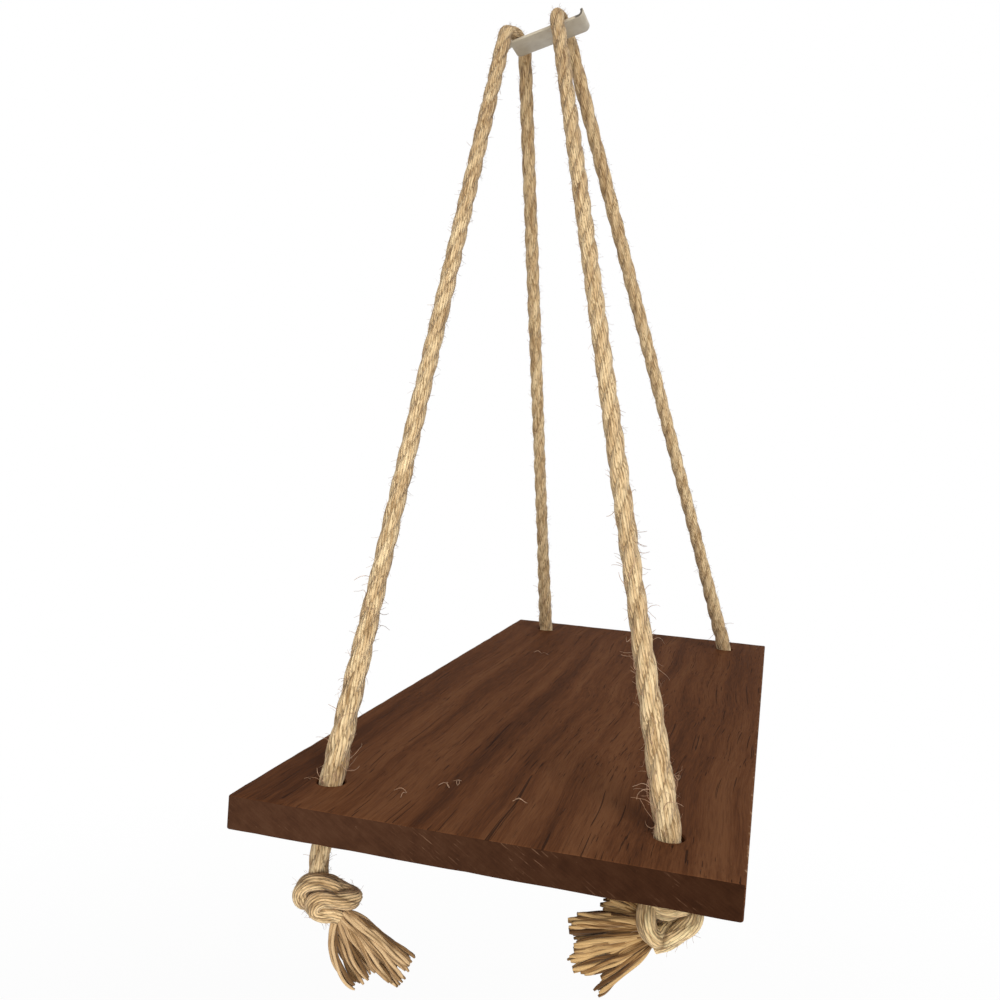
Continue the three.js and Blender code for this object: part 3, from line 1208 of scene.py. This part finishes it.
def store_places(mesh: Mesh, bars: list[Bar], runs: list[np.ndarray], sides: int) -> None:
    """Store where each point is along its bar, its bar's own tone and its painted deep shade.

    Args:
        mesh: the swept mesh.
        bars: the bars it was swept along.
        runs: how far each point of each bar's line is from its start.
        sides: how many points the section has.
    """
    run = np.repeat(np.concatenate(runs), sides)
    own = np.repeat([bar.own for bar in bars], [sides * len(bar.line) for bar in bars])
    corners = np.empty(len(mesh.loops), dtype=np.int32)
    mesh.loops.foreach_get("vertex_index", corners)
    layer = mesh.uv_layers[0].data
    places = np.empty(2 * len(layer))
    layer.foreach_get("uv", places)
    places[0::2] = run[corners]
    layer.foreach_set("uv", places)
    spots = vertex_places(mesh)
    sunk = np.zeros(len(spots))
    at = 0
    for bar in bars:
        stop = at + sides * len(bar.line)
        if bar.core is not None:
            low, high = bar.valley_shade
            core = np.repeat(np.array(bar.core), sides, axis=0)
            sizes = np.repeat(bar.sizes or [1.0] * len(bar.line), sides)
            off = np.linalg.norm(spots[at:stop] - core, axis=1) / sizes
            share = np.clip((high - off) / (high - low), 0, 1)
            sunk[at:stop] = share * share * (3 - 2 * share)
        at = stop
    mesh.attributes.new("own", "FLOAT", "POINT").data.foreach_set("value", own)
    mesh.attributes.new("sunk", "FLOAT", "POINT").data.foreach_set("value", sunk)


def close_ends(mesh: Mesh, bars: list[Bar], sides: int) -> None:
    """Close both ends of each bar with a face.

    Args:
        mesh: the swept mesh.
        bars: the bars it was swept along.
        sides: how many points the section has.
    """
    bm = bmesh.new()
    bm.from_mesh(mesh)
    bm.verts.ensure_lookup_table()
    at = 0
    for bar in bars:
        stop = at + sides * len(bar.line)
        bm.faces.new(bm.verts[at:at + sides])
        bm.faces.new(bm.verts[stop - sides:stop][::-1])
        at = stop
    bm.to_mesh(mesh)
    bm.free()


# Ropes, knots and tufts


@dataclass(frozen=True)
class FuzzPatch:
    """A stretch of rope with longer loose hairs."""

    start_share: float
    stop_share: float
    count: int
    shortest: float = 4 * MM
    longest: float = 11 * MM
    curl: float = 0.38
    thick: float = 0.13 * MM


@dataclass
class LaidRope:
    """One rope of three strands, with a knot and a tuft at each end."""

    run: RopeRun
    leg_yarn: Material
    knot_yarn: Material
    loose_yarn: Material
    hair: Material
    seed: int
    patches: tuple
    pressed: float
    diameter: float = 8.5 * MM
    lay: float = 42 * MM
    counter_lay: float = 75 * MM
    leg_strand_share: float = 0.70
    knot_strand_share: float = 0.74
    arm_share: float = 0.92
    middle_share: float = 0.96
    hole_share: float = 1.17
    under_share: float = 0.97
    knot_share: float = 0.87
    flare_length: float = 80 * MM
    squeeze_length: float = 5 * MM
    crease_apart: float = 9 * MM
    crease_depth: float = 0.8 * MM
    press_reach: float = 20 * MM
    bearing: float = 1.2 * MM
    settled: float = 0.45 * MM
    arm_zone: float = 18 * MM
    strands: int = 3
    yarns: int = 14
    groove: float = 0.13
    swell: float = 0.035
    swells_per_metre: float = 45
    strand_swell: float = 0.05
    strand_swells_per_sample: float = 0.13
    step: float = 1.1 * MM
    hairs: int = 2400
    hair_millimetres: tuple = (1.0, 4.2)
    hair_curl: float = 0.28
    hair_thick: float = 0.075 * MM
    hair_step: float = 0.9 * MM
    hair_root_share: float = 0.43
    hair_outwards: tuple = (0.25, 1.0)
    hair_lengthways: tuple = (0.4, 1.4)
    hair_waver: float = 0.7
    hair_curl_spread: tuple = (0.3, 1.0)
    hair_thick_spread: tuple = (0.75, 1.2)

    def __post_init__(self) -> None:
        """Work out the whole line, knots and all, and where its parts begin and end."""
        self.chance = random.Random(self.seed)
        halves = {end: self.run.half(end) for end in End}
        self.ends = {end: half[-1] for end, half in halves.items()}
        knots = {end: self.tied(end).line(self.ends[end]) for end in End}
        rope = [*reversed(halves[End.NEAR]), *halves[End.FAR][1:]]
        self.line = EvenLine(
            [*reversed(knots[End.NEAR][1:]), *rope, *knots[End.FAR][1:]], self.step)
        self.first = self.line.index(self.length_of(knots[End.NEAR]))
        self.last = self.line.index(self.line.length - self.length_of(knots[End.FAR]))

    def tied(self, end: End) -> TiedEnd:
        """How the rope is tied under one end of the plank."""
        return TIED_ENDS[end, self.run.row]

    @staticmethod
    def length_of(points: list[Vector]) -> float:
        """The length of a line through points."""
        return sum((b - a).length for a, b in zip(points, points[1:]))

    @property
    def name(self) -> str:
        """The rope's name, as the solids use it."""
        return self.run.row.name.lower()

    def size_at(self, i: int) -> float:
        """The rope's thickness at a sample, as a share.

        It is thin where it is stretched and below the plank, and fuller towards the holes.

        Args:
            i: the sample.

        Returns:
            The share.
        """
        beyond = max(self.first - i, i - self.last) * self.line.step
        middle = (self.first + self.last) / 2
        out = abs(i - middle) / (middle - self.first)
        leg = self.arm_share + (self.middle_share - self.arm_share) * eased(3 * out)
        height, plank = self.line.points[i].z, self.run.plank
        flare = eased(1 - (height - plank.high.z) / self.flare_length)
        leg += (self.hole_share - leg) * flare + self.swell * noise.noise(
            Vector((i * self.line.step * self.swells_per_metre, 0.0, self.seed)))
        leg += (self.under_share - leg) * eased((plank.centre.z - height) / plank.thickness)
        return leg + (self.knot_share - leg) * eased(beyond / self.squeeze_length)

    def strand_bars(self, start: int, stop: int, strand_share: float) -> list[Bar]:
        """Lay the strands between two samples of the line.

        Args:
            start: the first sample.
            stop: the last sample.
            strand_share: a strand's thickness as a share of the rope's.

        Returns:
            A bar for each strand.
        """
        reach = self.diameter / 2
        radius = reach * strand_share
        off_centre = reach - radius
        valley = off_centre / 2 + math.sqrt(radius ** 2 - 0.75 * off_centre ** 2)
        sizes = [self.size_at(i) for i in range(start, stop + 1)]
        bars = []
        for strand in range(self.strands):
            points, radii = [], []
            for i, size in zip(range(start, stop + 1), sizes):
                angle = TURN * (strand / self.strands + i * self.line.step / self.lay)
                wobble = 1 + self.strand_swell * noise.noise(
                    Vector((i * self.strand_swells_per_sample, strand * 7.0, self.seed)))
                points.append(
                    self.line.points[i] + self.line.around(i, angle) * off_centre * size)
                radii.append(radius * size * wobble)
            # Each strand carries painted shade that deepens towards the valleys between strands.
            bars.append(Bar(
                points, radii, own=0.3 + 0.2 * strand, twist=-TURN / self.counter_lay,
                core=self.line.points[start:stop + 1], sizes=sizes,
                valley_shade=(0.92 * valley, 0.45 * valley + 0.55 * reach)))
        return bars

    def crease(self, mesh: Mesh, start: int, stop: int) -> None:
        """Darken a stretch of rope with painted shade where it lies close to another stretch of the
        same rope.

        Args:
            mesh: the swept stretch.
            start: the sample of the line that it starts at.
            stop: the sample that it ends at.
        """
        spots = vertex_places(mesh).reshape(self.strands, stop - start + 1, -1, 3)
        creased = np.zeros(spots.shape[:3])
        line = np.array(self.line.points)
        apart = round(self.crease_apart / self.line.step)
        surface = self.diameter / 2 * self.knot_share
        for i in range(start, stop + 1):
            others = np.concatenate((line[:max(0, i - apart)], line[i + apart:]))
            gaps = np.linalg.norm(spots[:, i - start, :, None, :] - others, axis=-1).min(axis=-1)
            share = np.clip((surface + self.crease_depth - gaps) / self.crease_depth, 0, 1)
            creased[:, i - start] = share
        stored = mesh.attributes["sunk"].data
        sunk = np.empty(len(stored))
        stored.foreach_get("value", sunk)
        stored.foreach_set("value", np.maximum(sunk, creased.ravel()))

    def press(self, mesh: Mesh) -> None:
        """Flatten the rope's back over the arm's two edges, and settle it a little.

        Args:
            mesh: a stretch of the rope, or its hairs.
        """
        arm, spots = self.run.arm, vertex_places(mesh)
        up = np.array(arm.up)
        height = np.maximum(0.0, spots @ up - arm.thickness / 2 - self.bearing)
        off_edge = np.abs(np.abs(spots[:, 0]) - arm.width / 2) / self.press_reach
        share = np.clip(1 - off_edge, 0, 1)
        share *= share * (3 - 2 * share)
        spots -= np.outer(share * (self.pressed * height + self.settled), up)
        mesh.vertices.foreach_set("co", spots.ravel())

    def part(self, node: str, start: int, stop: int, strand_share: float, yarn: Material) -> Object:
        """Build the stretch of rope between two samples of the line.

        Args:
            node: the solid that it stands for.
            start: the first sample.
            stop: the last sample.
            strand_share: a strand's thickness as a share of the rope's.
            yarn: the material.

        Returns:
            The piece.
        """
        name = f"{node}_strands"
        mesh = sweep(name, self.strand_bars(start, stop, strand_share),
                     ridged_section(self.yarns, per_ridge=2, depth=self.groove))
        self.crease(mesh, start, stop)
        self.press(mesh)
        return place_piece(name, mesh, yarn, Body.SHELF, node)

    def fuzz(self) -> Object:
        """Build the fine hairs that stand off the rope.

        Returns:
            The piece.
        """
        bars = [
            self.hair_bar(self.chance.randrange(2, len(self.line.points) - 2),
                          self.chance.uniform(*self.hair_millimetres) * MM, self.hair_curl,
                          self.hair_thick)
            for _ in range(self.hairs)
        ]
        for patch in self.patches:
            low, high = (self.first + share * (self.last - self.first)
                         for share in (patch.start_share, patch.stop_share))
            bars += [
                self.hair_bar(round(self.chance.uniform(low, high)),
                              self.chance.uniform(patch.shortest, patch.longest), patch.curl,
                              patch.thick)
                for _ in range(patch.count)
            ]
        name = f"{self.name}_rope_hairs"
        mesh = sweep(name, bars, ridged_section(ridges=4, per_ridge=1, depth=0.0))
        self.press(mesh)
        return place_piece(name, mesh, self.hair, Body.SHELF)

    def hair_bar(self, i: int, length: float, curl: float, thick: float) -> Bar:
        """Grow one hair out of the rope.

        Args:
            i: the sample of the line that it starts at.
            length: how long it is.
            curl: how far it may turn at each step.
            thick: about how thick it is at its root.

        Returns:
            The hair's bar.
        """
        outward = self.off_arm(self.line.points[i], self.line.around(
            i, self.chance.uniform(0, TURN)))
        lengthways = self.line.tangents[i] * self.chance.choice((-1, 1))
        heading = (outward * self.chance.uniform(*self.hair_outwards)
                   + lengthways * self.chance.uniform(*self.hair_lengthways)).normalized()
        steps = max(5, round(length / self.hair_step))
        axis = Vector([self.chance.uniform(-1, 1) for _ in range(3)]).normalized()
        root = outward * self.hair_root_share * self.diameter * self.size_at(i)
        points = [self.line.points[i] + root]
        for _ in range(steps):
            waver = [self.chance.uniform(-self.hair_waver, self.hair_waver) for _ in range(3)]
            axis = (axis + Vector(waver)).normalized()
            turn = Quaternion(axis, curl * self.chance.uniform(*self.hair_curl_spread))
            heading = (turn @ heading).normalized()
            points.append(points[-1] + heading * length / steps)
        thick *= self.chance.uniform(*self.hair_thick_spread)
        radii = [thick * (1 - 0.5 * i / steps) for i in range(steps + 1)]
        return Bar(points, radii, own=self.chance.random())

    def off_arm(self, point: Vector, outward: Vector) -> Vector:
        """Turn a hair's direction round if it would run into the hook's arm.

        Args:
            point: the rope's middle where the hair starts.
            outward: the direction that it would grow in.

        Returns:
            The direction to grow in.
        """
        from_arm = point - self.run.arm.out * point.dot(self.run.arm.out)
        into_arm = from_arm.length < self.arm_zone and outward.dot(from_arm) < 0
        return -outward if into_arm else outward

    def tuft(self, end: End) -> Object:
        """Build the frayed end beyond a knot.

        Args:
            end: the plank's end that it hangs under.

        Returns:
            The piece.
        """
        corner = CORNERS[end, self.run.row]
        node, name = f"{corner.name}_tuft", f"{corner.name}_tuft_yarns"
        tuft = FrayedTuft(self.tied(end), self.ends[end], self.diameter * self.knot_share / 2,
                          random.Random(f"{self.seed} {corner.name}"))
        return place_piece(
            name, tuft.mesh(name), self.loose_yarn, Body.SHELF, node)

    def make(self) -> None:
        rope = self.part(
            f"{self.name}_rope", self.first, self.last, self.leg_strand_share, self.leg_yarn)
        pieces = []
        spans = {End.NEAR: (0, self.first), End.FAR: (self.last, len(self.line.points) - 1)}
        for end, (start, stop) in spans.items():
            knot = self.part(f"{CORNERS[end, self.run.row].name}_knot", start, stop,
                             self.knot_strand_share, self.knot_yarn)
            pieces += [knot, self.tuft(end)]
        pieces.append(self.fuzz())


@dataclass
class FrayedTuft:
    """The yarns of a rope's end, unlaid past the knot and parted into clumps."""

    tied: TiedEnd
    rope_end: Vector
    neck_radius: float
    chance: random.Random
    yarn_radius: float = 0.80 * MM
    clump_radius: float = 1.05 * MM
    clump_pitch: float = 90 * MM
    wave: float = 0.42 * MM
    wave_length: float = 19 * MM
    yarn_pitch: float = 60 * MM
    ragged: float = 1.5 * MM
    frayed: float = 2.0 * MM
    sides: int = 5
    groove: float = 0.08
    wave_spread: tuple = (0.6, 1.4)
    wave_length_spread: tuple = (0.8, 1.3)
    clump_spread: tuple = (0.7, 1.1)
    thick_spread: tuple = (0.85, 1.12)
    tip_thinning: float = 0.45
    swell: float = 0.10
    swells_per_metre: float = 350
    # Painted shade inside a clump fades out between these distances from its line.
    inner: float = 0.85 * MM
    outer: float = 1.4 * MM
    step: float = 1.1 * MM

    def mesh(self, name: str) -> Mesh:
        """Build every yarn of the tuft as one mesh.

        Args:
            name: the mesh's name.

        Returns:
            The mesh.
        """
        frame, middle = self.tied.frame, self.tied.middle(self.rope_end)
        neck = frame.place(middle, self.tied.neck)
        ends = [(frame.place(middle, clump[:3]), clump[3:]) for clump in self.tied.clumps]
        aim = sum((end - neck for end, _ in ends), Vector()).normalized()
        bars = [bar for end, rest in ends for bar in self.clump(neck, end, aim, *rest)]
        section = ridged_section(self.sides, per_ridge=2, depth=self.groove)
        return sweep(name, bars, section)

    def clump(
        self, neck: Vector, end: Vector, aim: Vector, count: int, bow: float = 0.75,
    ) -> list[Bar]:
        """Part one clump of yarns from the tuft.

        Args:
            neck: where the tuft leaves the knot.
            end: where the clump is cut off.
            aim: the tuft's direction.
            count: how many yarns it has.
            bow: how far its line swings aside on the way.

        Returns:
            Its yarns.
        """
        toward = (end - neck).normalized()
        aside = toward - aim * toward.dot(aim)
        start = neck + aside * 1.5 * self.neck_radius
        length = (end - start).length
        toward = (end - start).normalized()
        leave = (toward + bow * aside).normalized()
        arrive = (toward - 0.6 * bow * aside).normalized()
        core = EvenLine(interpolate_bezier(
            start, start + leave * length / 3, end - arrive * length / 3, end, 16), self.step)
        phase = self.chance.uniform(0, TURN)
        return [self.yarn(core, phase + TURN * i / count) for i in range(count)]

    def yarn(self, core: EvenLine, phase: float) -> Bar:
        """Wind one yarn slowly round its clump's line.

        Args:
            core: the clump's line.
            phase: the angle round it at which the yarn starts.

        Returns:
            The yarn's bar.
        """
        swing = self.chance.uniform(0, TURN)
        sway = self.chance.uniform(*self.wave_spread) * self.wave
        stretch = self.wave_length * self.chance.uniform(*self.wave_length_spread)
        last = len(core.points) - round(self.chance.uniform(0, self.ragged) / core.step)
        off = self.clump_radius * self.chance.uniform(*self.clump_spread)
        points, radii = [], []
        thick = self.yarn_radius * self.chance.uniform(*self.thick_spread)
        for i in range(last):
            run = i * core.step
            turn = phase + TURN * run / self.clump_pitch
            weave = sway * math.sin(swing + TURN * run / stretch)
            points.append(core.points[i] + core.around(i, turn) * (off + weave)
                          + core.around(i, turn + 1.6) * 0.6 * weave)
            taper = 1 - self.tip_thinning * eased(1 - (last - 1 - i) * core.step / self.frayed)
            swell = self.swell * noise.noise(points[-1] * self.swells_per_metre)
            radii.append(thick * taper * (1 + swell))
        return Bar(points, radii, own=self.chance.random(), twist=TURN / self.yarn_pitch,
                   core=core.points[:last], valley_shade=(self.inner, self.outer))


# The plank and the hook


@dataclass
class Plank:
    """The stained board with its four drilled holes."""

    place: PlankPlace
    wood: Material
    corner_radius: float = 1.3 * MM
    arris: float = 0.6 * MM
    rim: float = 0.5 * MM
    dent: float = 0.22 * MM
    cell: float = 6 * MM
    drill_steps: int = 40
    dents_per_metre: float = 90
    least_dent: float = 0.15
    sharp: float = math.radians(40)

    def body(self) -> BMesh:
        """Shape the board, with rounded corners and softened arrises.

        Returns:
            The board's bmesh.
        """
        low, high = self.place.low, self.place.high
        bm = bmesh.new()
        bmesh.ops.create_cube(bm, size=1.0)
        bmesh.ops.scale(bm, verts=bm.verts, vec=high - low)
        bmesh.ops.translate(bm, verts=bm.verts, vec=(low + high) / 2)
        upright = [e for e in bm.edges
                   if abs((e.verts[0].co - e.verts[1].co).z) > self.place.thickness / 2]
        rounded(bm, upright, self.corner_radius, steps=4)
        level = [e for e in bm.edges
                 if abs((e.verts[0].co - e.verts[1].co).z) < self.arris / 2]
        rounded(bm, level, self.arris, steps=3)
        for axis, direction in ((0, ALONG), (1, TO_WALL)):
            count = int((high[axis] - low[axis]) / self.cell)
            for i in range(1, count):
                where = low.lerp(high, i / count)
                bmesh.ops.bisect_plane(
                    bm, geom=bm.verts[:] + bm.edges[:] + bm.faces[:],
                    plane_co=where, plane_no=direction)
        return bm

    def wear(self, bm: BMesh) -> None:
        """Rub the arrises unevenly.

        Args:
            bm: the board's bmesh.
        """
        low, high = self.place.low, self.place.high
        middle, near = (low + high) / 2, 1.5 * self.arris
        for vertex in bm.verts:
            gaps = [min(vertex.co[k] - low[k], high[k] - vertex.co[k]) for k in range(3)]
            if sorted(gaps)[1] < near:
                dent = noise.noise(vertex.co * self.dents_per_metre) + self.least_dent
                rub = self.dent * max(0.0, dent)
                inward = middle - vertex.co
                for k in range(3):
                    if gaps[k] < near:
                        vertex.co[k] += math.copysign(rub, inward[k])

    def bit(self) -> Object:
        """Make the four drills, each flared where it meets a face of the board.

        Returns:
            One object that holds all four.
        """
        bm = bmesh.new()
        top, low = self.place.high.z, self.place.low.z
        r, rim, over = self.place.hole_radius, self.rim, 2 * MM
        heights = [(0.0, top + over), (r + rim + over, top + over), (r + rim, top), (r, top - rim),
                   (r, low + rim), (r + rim, low), (r + rim + over, low - over),
                   (0.0, low - over)]
        outline = [bm.verts.new((radius, 0.0, z)) for radius, z in heights]
        edges = [bm.edges.new(pair) for pair in zip(outline, outline[1:])]
        bmesh.ops.spin(bm, geom=outline + edges, cent=(0, 0, 0), axis=UP, dvec=(0, 0, 0),
                       angle=TURN, steps=self.drill_steps, use_merge=True)
        bmesh.ops.remove_doubles(bm, verts=bm.verts, dist=0.001 * MM)
        bmesh.ops.recalc_face_normals(bm, faces=bm.faces)
        one = bpy.data.meshes.new("bit")
        bm.to_mesh(one)
        bm.clear()
        for end in End:
            for row in Row:
                hole = self.place.hole(end, row)
                before = set(bm.verts)
                bm.from_mesh(one)
                fresh = [v for v in bm.verts if v not in before]
                bmesh.ops.translate(bm, verts=fresh, vec=(hole.x, hole.y, 0.0))
        bm.to_mesh(one)
        bm.free()
        return linked("bit", one)

    def make(self) -> None:
        """Build the plank in place of its solid."""
        bm = self.body()
        self.wear(bm)
        blank, bit = linked("blank", as_mesh("plank", bm)), self.bit()
        cut = blank.modifiers.new("holes", "BOOLEAN")
        cut.operation, cut.object, cut.solver = "DIFFERENCE", bit, "EXACT"
        graph = bpy.context.evaluated_depsgraph_get()
        drilled = bpy.data.meshes.new_from_object(blank.evaluated_get(graph))
        for spent in (blank, bit):
            bpy.data.objects.remove(spent)
        bm = bmesh.new()
        bm.from_mesh(drilled)
        bmesh.ops.remove_doubles(bm, verts=bm.verts, dist=0.005 * MM)
        bm.to_mesh(drilled)
        bm.free()
        drilled.name = "plank"
        mesh = smoothed(drilled, self.sharp)
        place_piece("plank", mesh, self.wood, Body.SHELF, "board")


@dataclass(frozen=True)
class Lint:
    """A few loose fibres off the ropes that lie curled on the plank.

    Each place is how far it is from the middle of the plank's top, along X and Y.
    """

    plank: PlankPlace
    hair: Material
    places: tuple = ((-182 * MM, 34 * MM), (-170 * MM, 21 * MM), (-166 * MM, 19 * MM),
                     (-173 * MM, -11 * MM), (-120 * MM, -62 * MM), (96 * MM, 48 * MM))
    fibres_each: int = 2
    length: float = 6 * MM
    thick: float = 0.11 * MM
    steps: int = 9
    curl: float = 0.28
    waver: float = 0.15
    lift: float = 0.5
    seed: int = 11

    def make(self) -> None:
        """Build them as one piece."""
        chance = random.Random(self.seed)
        bars = []
        for x, y in self.places:
            for _ in range(self.fibres_each):
                heading = chance.uniform(0, TURN)
                curl = chance.uniform(-self.curl, self.curl)
                point = self.plank.centre + Vector((x, y, self.thick))
                points = [point]
                for i in range(self.steps):
                    heading += curl + chance.uniform(-self.waver, self.waver)
                    level = Vector((math.cos(heading), math.sin(heading), 0.0))
                    rise = UP * self.lift * math.sin(TURN * i / self.steps)
                    point = point + (level + rise) * self.length / self.steps
                    point.z = max(point.z, self.plank.high.z + self.thick)
                    points.append(point)
                bars.append(Bar(points, [self.thick] * len(points), own=chance.random()))
        mesh = sweep("loose_fibres", bars, ridged_section(ridges=4, per_ridge=1, depth=0.0))
        place_piece("loose_fibres", mesh, self.hair, Body.SHELF)


@dataclass
class HookArm:
    """The painted strip that carries the ropes, with its rolled lip."""

    place: ArmPlace
    paint: Material
    arris: float = 0.3 * MM
    corner_steps: int = 6
    lip_steps: int = 14
    sharp: float = math.radians(35)

    def plan(self, bm: BMesh) -> None:
        """Lay out the flat strip, from the tab's wall end to where the lip rolls up.

        Args:
            bm: the bmesh that the strip's one face goes into.
        """
        wide, tab = self.place.width / 2, self.place.tab_width / 2
        start, radius = self.place.tab_length, self.place.corner_radius
        ring = [(tab, 0.0), (wide, start), (wide, self.place.reach), (-wide, self.place.reach)]
        for i in range(self.corner_steps + 1):
            angle = math.pi / 2 * i / self.corner_steps
            ring.append((radius - wide - radius * math.cos(angle),
                         start + radius - radius * math.sin(angle)))
        ring += [(wide - 2 * tab, start), (-tab, 0.0)]
        bm.faces.new([bm.verts.new((x, y, 0.0)) for x, y in ring])

    def make(self) -> None:
        """Build the arm in place of its solid."""
        bm = bmesh.new()
        self.plan(bm)
        reach, half = self.place.reach, self.place.thickness / 2
        bmesh.ops.translate(bm, verts=bm.verts, vec=-UP * half)
        roll = self.place.lip_radius + half
        outer = [e for e in bm.edges if all(abs(v.co.y - reach) < half / 10 for v in e.verts)]
        bmesh.ops.spin(
            bm, geom=outer, cent=(0.0, reach, roll), axis=ALONG, dvec=(0, 0, 0),
            angle=self.place.lip_turn, steps=self.lip_steps)
        bmesh.ops.remove_doubles(bm, verts=bm.verts, dist=0.001 * MM)
        bmesh.ops.recalc_face_normals(bm, faces=bm.faces)
        bmesh.ops.solidify(bm, geom=bm.faces[:], thickness=2 * half)
        sharp = [e for e in bm.edges if e.calc_face_angle(0.0) > math.radians(50)]
        rounded(bm, sharp, self.arris, steps=2)
        turn = Matrix((self.place.out.cross(self.place.up), self.place.out, self.place.up))
        bmesh.ops.transform(bm, matrix=turn.transposed().to_4x4(), verts=bm.verts)
        bmesh.ops.recalc_face_normals(bm, faces=bm.faces)
        mesh = smoothed(as_mesh("hook_strip", bm), self.sharp)
        place_piece("hook_strip", mesh, self.paint, Body.HOOK, "hook_arm")


def main() -> None:
    """Build the shelf, its studio and its camera."""
    logging.basicConfig(level=logging.INFO, format="%(message)s")
    bpy.context.scene.view_settings.view_transform = "Standard"
    ViewCamera().make()
    Studio().make()

    groups = ShaderGroups()
    plank = PlankPlace(*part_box("board"))
    arm = ArmPlace()
    laid = JuteYarn(groups, "laid_jute", LaidRope.yarns, groove_shade_share=0.45, sunk_share=0.5)
    leg_yarn = laid.material()
    hair = JuteYarn(
        groups, "jute_hair", 1, pale=(0.66, 0.44, 0.29), middle=(0.52, 0.31, 0.19),
        dark=(0.36, 0.20, 0.11), groove_shade_share=0.0).material()
    # The knots get brightened copies of the laid yarn, painted light against the plank's shadow,
    # the front one brightest; their grooves and creases carry more painted shade.
    knot_yarns_painted_light = {
        Row.WALL: replace(
            laid, name="knotted_jute", pale=(0.95, 0.70, 0.385), middle=(0.78, 0.525, 0.265),
            groove_shade_share=0.85, sunk_share=0.95, fleck_share=0.6).material(),
        Row.FRONT: replace(
            laid, name="pale_knotted_jute", pale=(1.0, 0.80, 0.44), middle=(0.90, 0.64, 0.33),
            groove_shade_share=0.6, sunk_share=0.75, fleck_share=0.45).material(),
    }
    unlaid = JuteYarn(
        groups, "loose_jute", FrayedTuft.sides, pale=(0.56, 0.385, 0.205),
        middle=(0.353, 0.213, 0.098), dark=(0.136, 0.072, 0.027), groove_shade_share=0.3,
        sunk_share=0.85, fleck_share=0.15, own_share=0.40, lengthways=80.0, relief=0.05 * MM)
    loose = {
        Row.WALL: unlaid.material(),
        # The front tuft gets a darker, warmer copy of the loose yarn, as painted shade from the
        # plank above.
        Row.FRONT: replace(
            unlaid, name="golden_jute", pale=(0.52, 0.335, 0.145), middle=(0.24, 0.125, 0.043),
            dark=(0.075, 0.034, 0.011)).material(),
    }
    runs = (
        RopeRun(Row.WALL, crossing=12.6 * MM, skew=3.6 * MM, plank=plank, arm=arm),
        RopeRun(Row.FRONT, crossing=40.5 * MM, skew=0.6 * MM, plank=plank, arm=arm),
    )
    patches = {
        Row.WALL: (FuzzPatch(0.037, 0.062, 26), FuzzPatch(0.062, 0.14, 22),
                   FuzzPatch(0.93, 0.965, 14)),
        Row.FRONT: (FuzzPatch(0.016, 0.045, 34), FuzzPatch(0.045, 0.17, 40),
                    FuzzPatch(0.94, 0.985, 14)),
    }
    pressed = {Row.WALL: 0.10, Row.FRONT: 0.36}
    for seed, run in enumerate(runs):
        LaidRope(run, leg_yarn, knot_yarns_painted_light[run.row], loose[run.row], hair, seed + 1,
                 patches[run.row], pressed[run.row]).make()
    wood = StainedWood(groups, plank)
    Plank(plank, wood.material()).make()
    Lint(plank, hair).make()
    HookArm(arm, HookPaint(groups, arm).material()).make()


if __name__ == "__main__":
    main()
